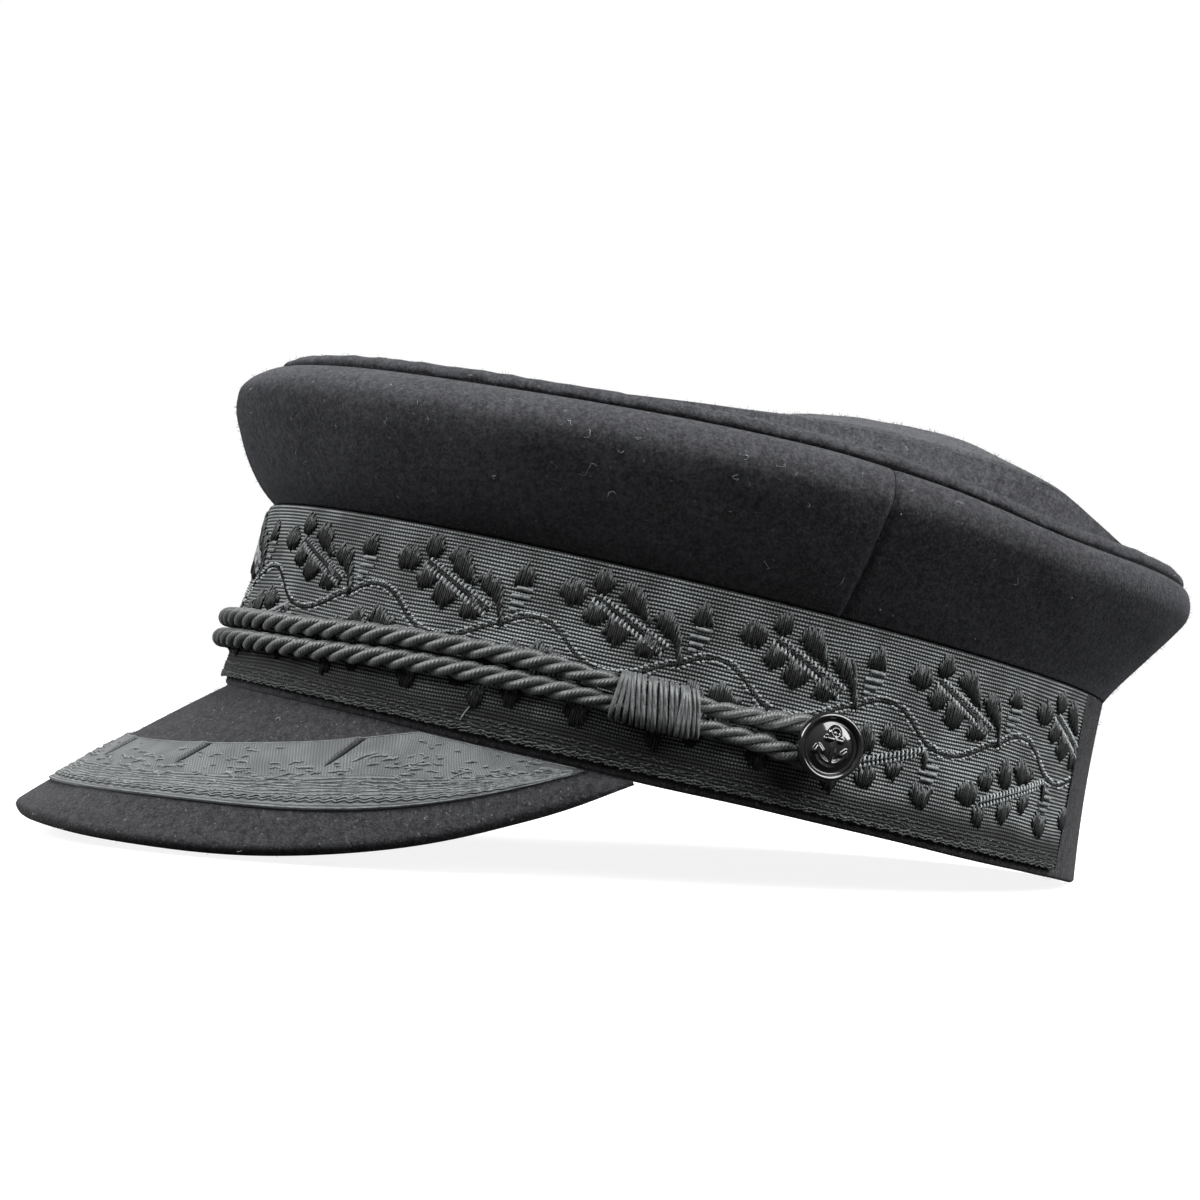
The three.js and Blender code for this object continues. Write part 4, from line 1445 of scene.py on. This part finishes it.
def make_slider(name, side):
    middle = side * SLIDER_PLACE * math.pi
    reach = side * SLIDER_LENGTH / 2 / oval_stride(middle)
    draw = np.random.default_rng(40 + side)
    phase = np.arange(WRAP_STEPS) / WRAP_STEPS
    lines = []
    for k in range(WRAP_LINES):
        share = 2 * (k + 0.5) / WRAP_LINES - 1
        share += 0.006 * (-1) ** k + draw.normal(0, 0.005)
        lean = blend(-WRAP_LEAN, 0.05, smooth_step(share, -0.45, -1.0))
        place = share + lean * np.sin(phase * 2 * math.pi) + 0.01 * np.cos(phase * 2 * math.pi)
        lift = SLIDER_BARREL * (1 - share**2) + draw.uniform(-0.12, 0.1)
        lines.append(slider_ring(middle + reach * place, phase, lift))
    make_threads(name + "_wraps", "cord", lines, WRAP_RADIUS, slider_yarn, name, sides=7, closed=True)
    phase = np.linspace(-0.24, 0.2, 22)
    lean = (phase - phase[0]) / (phase[-1] - phase[0])
    lines = []
    for k in range(TUCKS):
        place = 0.56 + 0.12 * k - (0.04 + 0.1 * k) * lean**2
        lift = SLIDER_BARREL * (1 - place**2) + 0.62 * np.sin(lean * math.pi) ** 0.5
        lines.append(slider_ring(middle + reach * place, phase, lift))
    make_threads(name + "_tuck", "cord", lines, WRAP_RADIUS, slider_yarn, sides=7)


make_slider("cord_slider_left", 1)
make_slider("cord_slider_right", -1)


# The buttons: a shank, a raised rim and an anchor in low relief.
BUTTON_LINE = np.array([
    (0.00, 0.00), (0.60, 0.00), (0.92, 0.16), (1.00, 0.42), (0.97, 0.74), (0.90, 0.84),
    (0.82, 0.74), (0.78, 0.60), (0.72, 0.58), (0.50, 0.80), (0.25, 0.93), (0.00, 0.98),
])
BUTTON_FACE_ROW = 8
BUTTON_FACE_RINGS = 39
BUTTON_COLUMNS = 120
SHANK_COLUMNS = 24
SHANK_SEAT = 0.1
RELIEF = 0.75
ANCHOR_STROKES = [
    ((0.0, -3.5), (0.0, 2.2), 0.55),
    ((-1.7, 1.6), (1.7, 1.6), 0.5),
    ((-3.1, -0.4), (-3.5, -1.5), 0.5),
    ((-3.1, -0.4), (-2.2, -1.3), 0.5),
    ((3.1, -0.4), (3.5, -1.5), 0.5),
    ((3.1, -0.4), (2.2, -1.3), 0.5),
]
ANCHOR_RING = (0.0, 3.1, 0.95, 0.34)
ANCHOR_ARMS = (0.0, -0.2, 3.2, 0.52)


def relief_at(x, y):
    """How much of the anchor's relief stands at a point of the button's face, from 0 to 1."""
    best = np.full(x.shape, 9.0)
    for (x0, y0), (x1, y1), half in ANCHOR_STROKES:
        dx, dy = x1 - x0, y1 - y0
        share = np.clip(((x - x0) * dx + (y - y0) * dy) / (dx * dx + dy * dy), 0, 1)
        best = np.minimum(best, np.hypot(x - x0 - share * dx, y - y0 - share * dy) - half)
    x0, y0, size, half = ANCHOR_RING
    best = np.minimum(best, np.abs(np.hypot(x - x0, y - y0) - size) - half)
    x0, y0, size, half = ANCHOR_ARMS
    arms = np.abs(np.hypot(x - x0, y - y0) - size) - half
    best = np.minimum(best, np.where(y < y0 - 0.6, arms, 9.0))
    return smooth_step(best, 0.3, -0.4)


def make_button(name, side):
    turn = side * BUTTON_PLACE * math.pi
    along_x, along_y = np.array(oval_step(turn)) / oval_stride(turn)
    axes = np.array([(along_x * side, along_y * side, 0), (0, 0, 1), (along_y, -along_x, 0)])
    centre = band_point(turn, TRIM_OUT + SEAM_GAP, cord_height(turn))
    length = 2 * SEAM_GAP + CORD_DIAMETER
    rim = smooth_line(BUTTON_LINE[: BUTTON_FACE_ROW + 1], 5)
    face_radius = np.linspace(rim[-1, 0], 0, BUTTON_FACE_RINGS + 1)[1:]
    face_rise = np.interp(face_radius, *BUTTON_LINE[: BUTTON_FACE_ROW - 1 : -1].T)
    outline = np.concatenate([rim, np.stack([face_radius, face_rise], -1)])
    raised = RELIEF * (np.arange(len(outline)) > len(rim) - 4)
    face = outline * (BUTTON_DIAMETER / 2, BUTTON_THICKNESS) + (0, length)
    shank = np.array([(0, 0), (1, 0), (1, 1), (0, 1)]) * (BUTTON_SHANK / 2, length + SHANK_SEAT)
    parts = (("_face", face, raised, BUTTON_COLUMNS, [name]), ("_shank", shank, 0, SHANK_COLUMNS, []))
    for part, line, relief, columns, nodes in parts:
        swing = whole_round(columns, 0.0)
        x, y = line[:, 0] * np.cos(swing), line[:, 0] * np.sin(swing)
        points = np.stack([x, y, line[:, 1] + relief * relief_at(x, y)], -1) @ axes
        faces = turned_out(points, grid_faces(*points.shape[:2], True, False))
        piece = close_poles(make_piece(name + part, points + centre, faces, button_black))
        dress(piece, "button", *nodes)


make_button("button_left", 1)
make_button("button_right", -1)

# The nap: short fibres over the wool and the felt. Rows: the cloth, the fibres on a square metre, and a seed.
NAPS = [("wool", 105000.0, 3), ("felt", 75000.0, 5)]
NAP_LENGTH = 0.0009
NAP_THICKNESS = 0.000034
NAP_LEAN = 1.2
CAP_MIDDLE = np.array([0.0, 0.0, 30.0])


def outward_sheet(sheet):
    """The sheet with its rows in the order that makes its faces point away from the cap's middle."""
    return sheet[::-1] if face_inwards(sheet - CAP_MIDDLE, grid_faces(*sheet.shape[:2])) else sheet


def make_nap(slot, density, seed):
    parts = [outward_sheet(sheet) for sheet in sheets[slot]]
    faces, first = [], 0
    for part in parts:
        faces.append(grid_faces(*part.shape[:2]) + first)
        first += part.shape[0] * part.shape[1]
    cloth = new_mesh(slot + "_nap_cloth", np.concatenate([part.reshape(-1, 3) for part in parts]))
    add_faces(cloth, np.concatenate(faces))
    sizes = {"Length": NAP_LENGTH, "Thickness": NAP_THICKNESS, "Lean": NAP_LEAN}
    dress(grow(slot + "_nap", cloth, nap_tree, nap_fibre, Density=density, Seed=seed, **sizes), slot)


for row in NAPS:
    make_nap(*row)


# Lint: pale curly fibres. Each mark is a place across and up the near side panel, as shares of it, and the
# fibre's length in millimetres. The counts are those of the other fibres on each sheet.
LINT_MARKS = [
    (0.670, 0.50, 6.0), (0.690, 0.38, 3.0), (0.830, 0.74, 4.0), (0.800, 0.62, 3.0),
    (0.650, 0.66, 3.5), (0.700, 0.72, 2.5), (0.560, 0.34, 2.5), (0.930, 0.25, 2.5),
]
LINT_COUNTS = (18, 18, 18, 34, 8, 22)
LINT_RADIUS = 0.05
STRAY_PLACE = 0.317
STRAY_RADIUS = 0.15


def lint_line(sheet, across, up, length, draw):
    """A curl of fibre that lies on a sheet of points, from a place on it."""
    count = 16
    step = np.linspace(0, 1, count)
    bend = np.cumsum(draw.normal(0.15, 0.6, count)) + draw.uniform(0, 2 * math.pi)
    column_size = np.linalg.norm(np.diff(sheet[:, sheet.shape[1] // 2], axis=0), axis=-1).mean()
    row_size = np.linalg.norm(np.diff(sheet[sheet.shape[0] // 2], axis=0), axis=-1).mean()
    column = across * (sheet.shape[0] - 1) + np.cumsum(np.cos(bend)) * length / count / column_size
    row = up * (sheet.shape[1] - 1) + np.cumsum(np.sin(bend)) * length / count / row_size
    column = np.clip(column, 0, sheet.shape[0] - 1.001)
    row = np.clip(row, 0, sheet.shape[1] - 1.001)
    i, j = column.astype(int), row.astype(int)
    a, b = (column - i)[:, None], (row - j)[:, None]
    low = blend(sheet[i, j], sheet[i, j + 1], b)
    high = blend(sheet[i + 1, j], sheet[i + 1, j + 1], b)
    face = unit(np.cross(sheet[i + 1, j] - sheet[i, j], sheet[i, j + 1] - sheet[i, j]))
    place = blend(low, high, a)
    face *= np.sign((face * (place - CAP_MIDDLE)).sum(-1, keepdims=True))
    return place + face * (0.12 + 0.5 * np.sin(step * math.pi) ** 2 * draw.uniform(0.2, 1.0))[:, None]


def make_lint():
    draw = np.random.default_rng(64)
    lines = [lint_line(sheets["wool"][0], *mark, draw) for mark in LINT_MARKS]
    for sheet, count in zip(sheets["wool"] + sheets["felt"], LINT_COUNTS):
        for _ in range(count):
            mark = (draw.uniform(0.03, 0.97), draw.uniform(0.1, 0.95), draw.uniform(0.6, 2.6))
            lines.append(lint_line(sheet, *mark, draw))
    radii = list(LINT_RADIUS * draw.uniform(0.5, 1.0, len(lines)))
    along = length_at(STRAY_PLACE * math.pi) + np.array([0.0, 0.5, 1.0, 1.5])
    lines.append(on_band(along, np.array([4.2, 5.3, 6.5, 7.6]), TRIM_OUT + np.array([0.1, 0.5, 0.5, 0.1])))
    radii.append(STRAY_RADIUS)
    make_threads("lint", "wool", lines, radii, lint_fibre, sides=3)


make_lint()


# The floor, the light and the surroundings.
FLOOR_SIDE = 60.0
BACKDROP_SIDE = 70.0
FLOOR_GREY = 0.25
FLOOR_GLOW = 0.88
WHITE = (1, 1, 1, 1)
# Each lamp: its name, its place and its size in metres, and its watts.
LAMPS = [
    ("key", (0.15, -1.3, 1.05), 1.1, 43),
    ("sky", (0.8, 1.02, 1.27), 2.0, 101),
    ("rim", (-0.9, 0.3, 1.1), 1.5, 30),
]


def make_surround(name, corners, sides, roughness, level, glow, shadow):
    """A white piece of the stage. It glows itself, and lights nothing."""
    mesh = bpy.data.meshes.new(name)
    mesh.from_pydata(corners, [], sides)
    colours = {"base_color": (level, level, level, 1), "emission_color": WHITE}
    paper = Finish(name + "_paper", roughness=roughness, emission_strength=glow, **colours)
    mesh.materials.append(paper.material)
    piece = put(name, mesh)
    piece.visible_diffuse = False
    piece.visible_glossy = False
    piece.visible_shadow = shadow


def make_floor():
    corners = [(x * FLOOR_SIDE / 2, y * FLOOR_SIDE / 2, 0) for x, y in ((-1, -1), (1, -1), (1, 1), (-1, 1))]
    make_surround("floor", corners, [(0, 1, 2, 3)], 0.9, FLOOR_GREY, FLOOR_GLOW, True)


def make_backdrop():
    """A white tent round everything."""
    ends = (-BACKDROP_SIDE / 2, BACKDROP_SIDE / 2)
    corners = [(x, y, z) for x in ends for y in ends for z in ends]
    sides = [(0, 1, 3, 2), (4, 6, 7, 5), (0, 4, 5, 1), (2, 3, 7, 6), (0, 2, 6, 4), (1, 5, 7, 3)]
    make_surround("backdrop", corners, sides, 1.0, 0.0, 1.0, False)


def make_lamp(name, place, size, watts):
    data = bpy.data.lights.new(name, "AREA")
    data.size = size
    data.energy = watts
    back = unit(np.array(place))
    level = unit(np.cross((0, 0, 1), back))
    aim(put(name, data), np.stack([level, np.cross(back, level), back]), place)


def make_world():
    """White surroundings: light from overhead, little from below."""
    world = bpy.data.worlds.new("surroundings")
    world.use_nodes = True
    tree = world.node_tree
    direction = add_node(tree, "ShaderNodeTexCoord")
    parts = add_node(tree, "ShaderNodeSeparateXYZ", None, {0: direction.outputs["Generated"]})
    sockets = {"Value": parts.outputs["Z"], "From Min": -0.5, "From Max": 0.9, "To Min": 0.04, "To Max": 0.5}
    strength = add_node(tree, "ShaderNodeMapRange", None, sockets)
    plug(tree, tree.nodes["Background"].inputs["Strength"], strength.outputs[0])
    tree.nodes["Background"].inputs["Color"].default_value = WHITE
    bpy.context.scene.world = world


make_floor()
make_backdrop()
make_world()
for lamp in LAMPS:
    make_lamp(*lamp)
bpy.context.scene.view_settings.view_transform = "Standard"
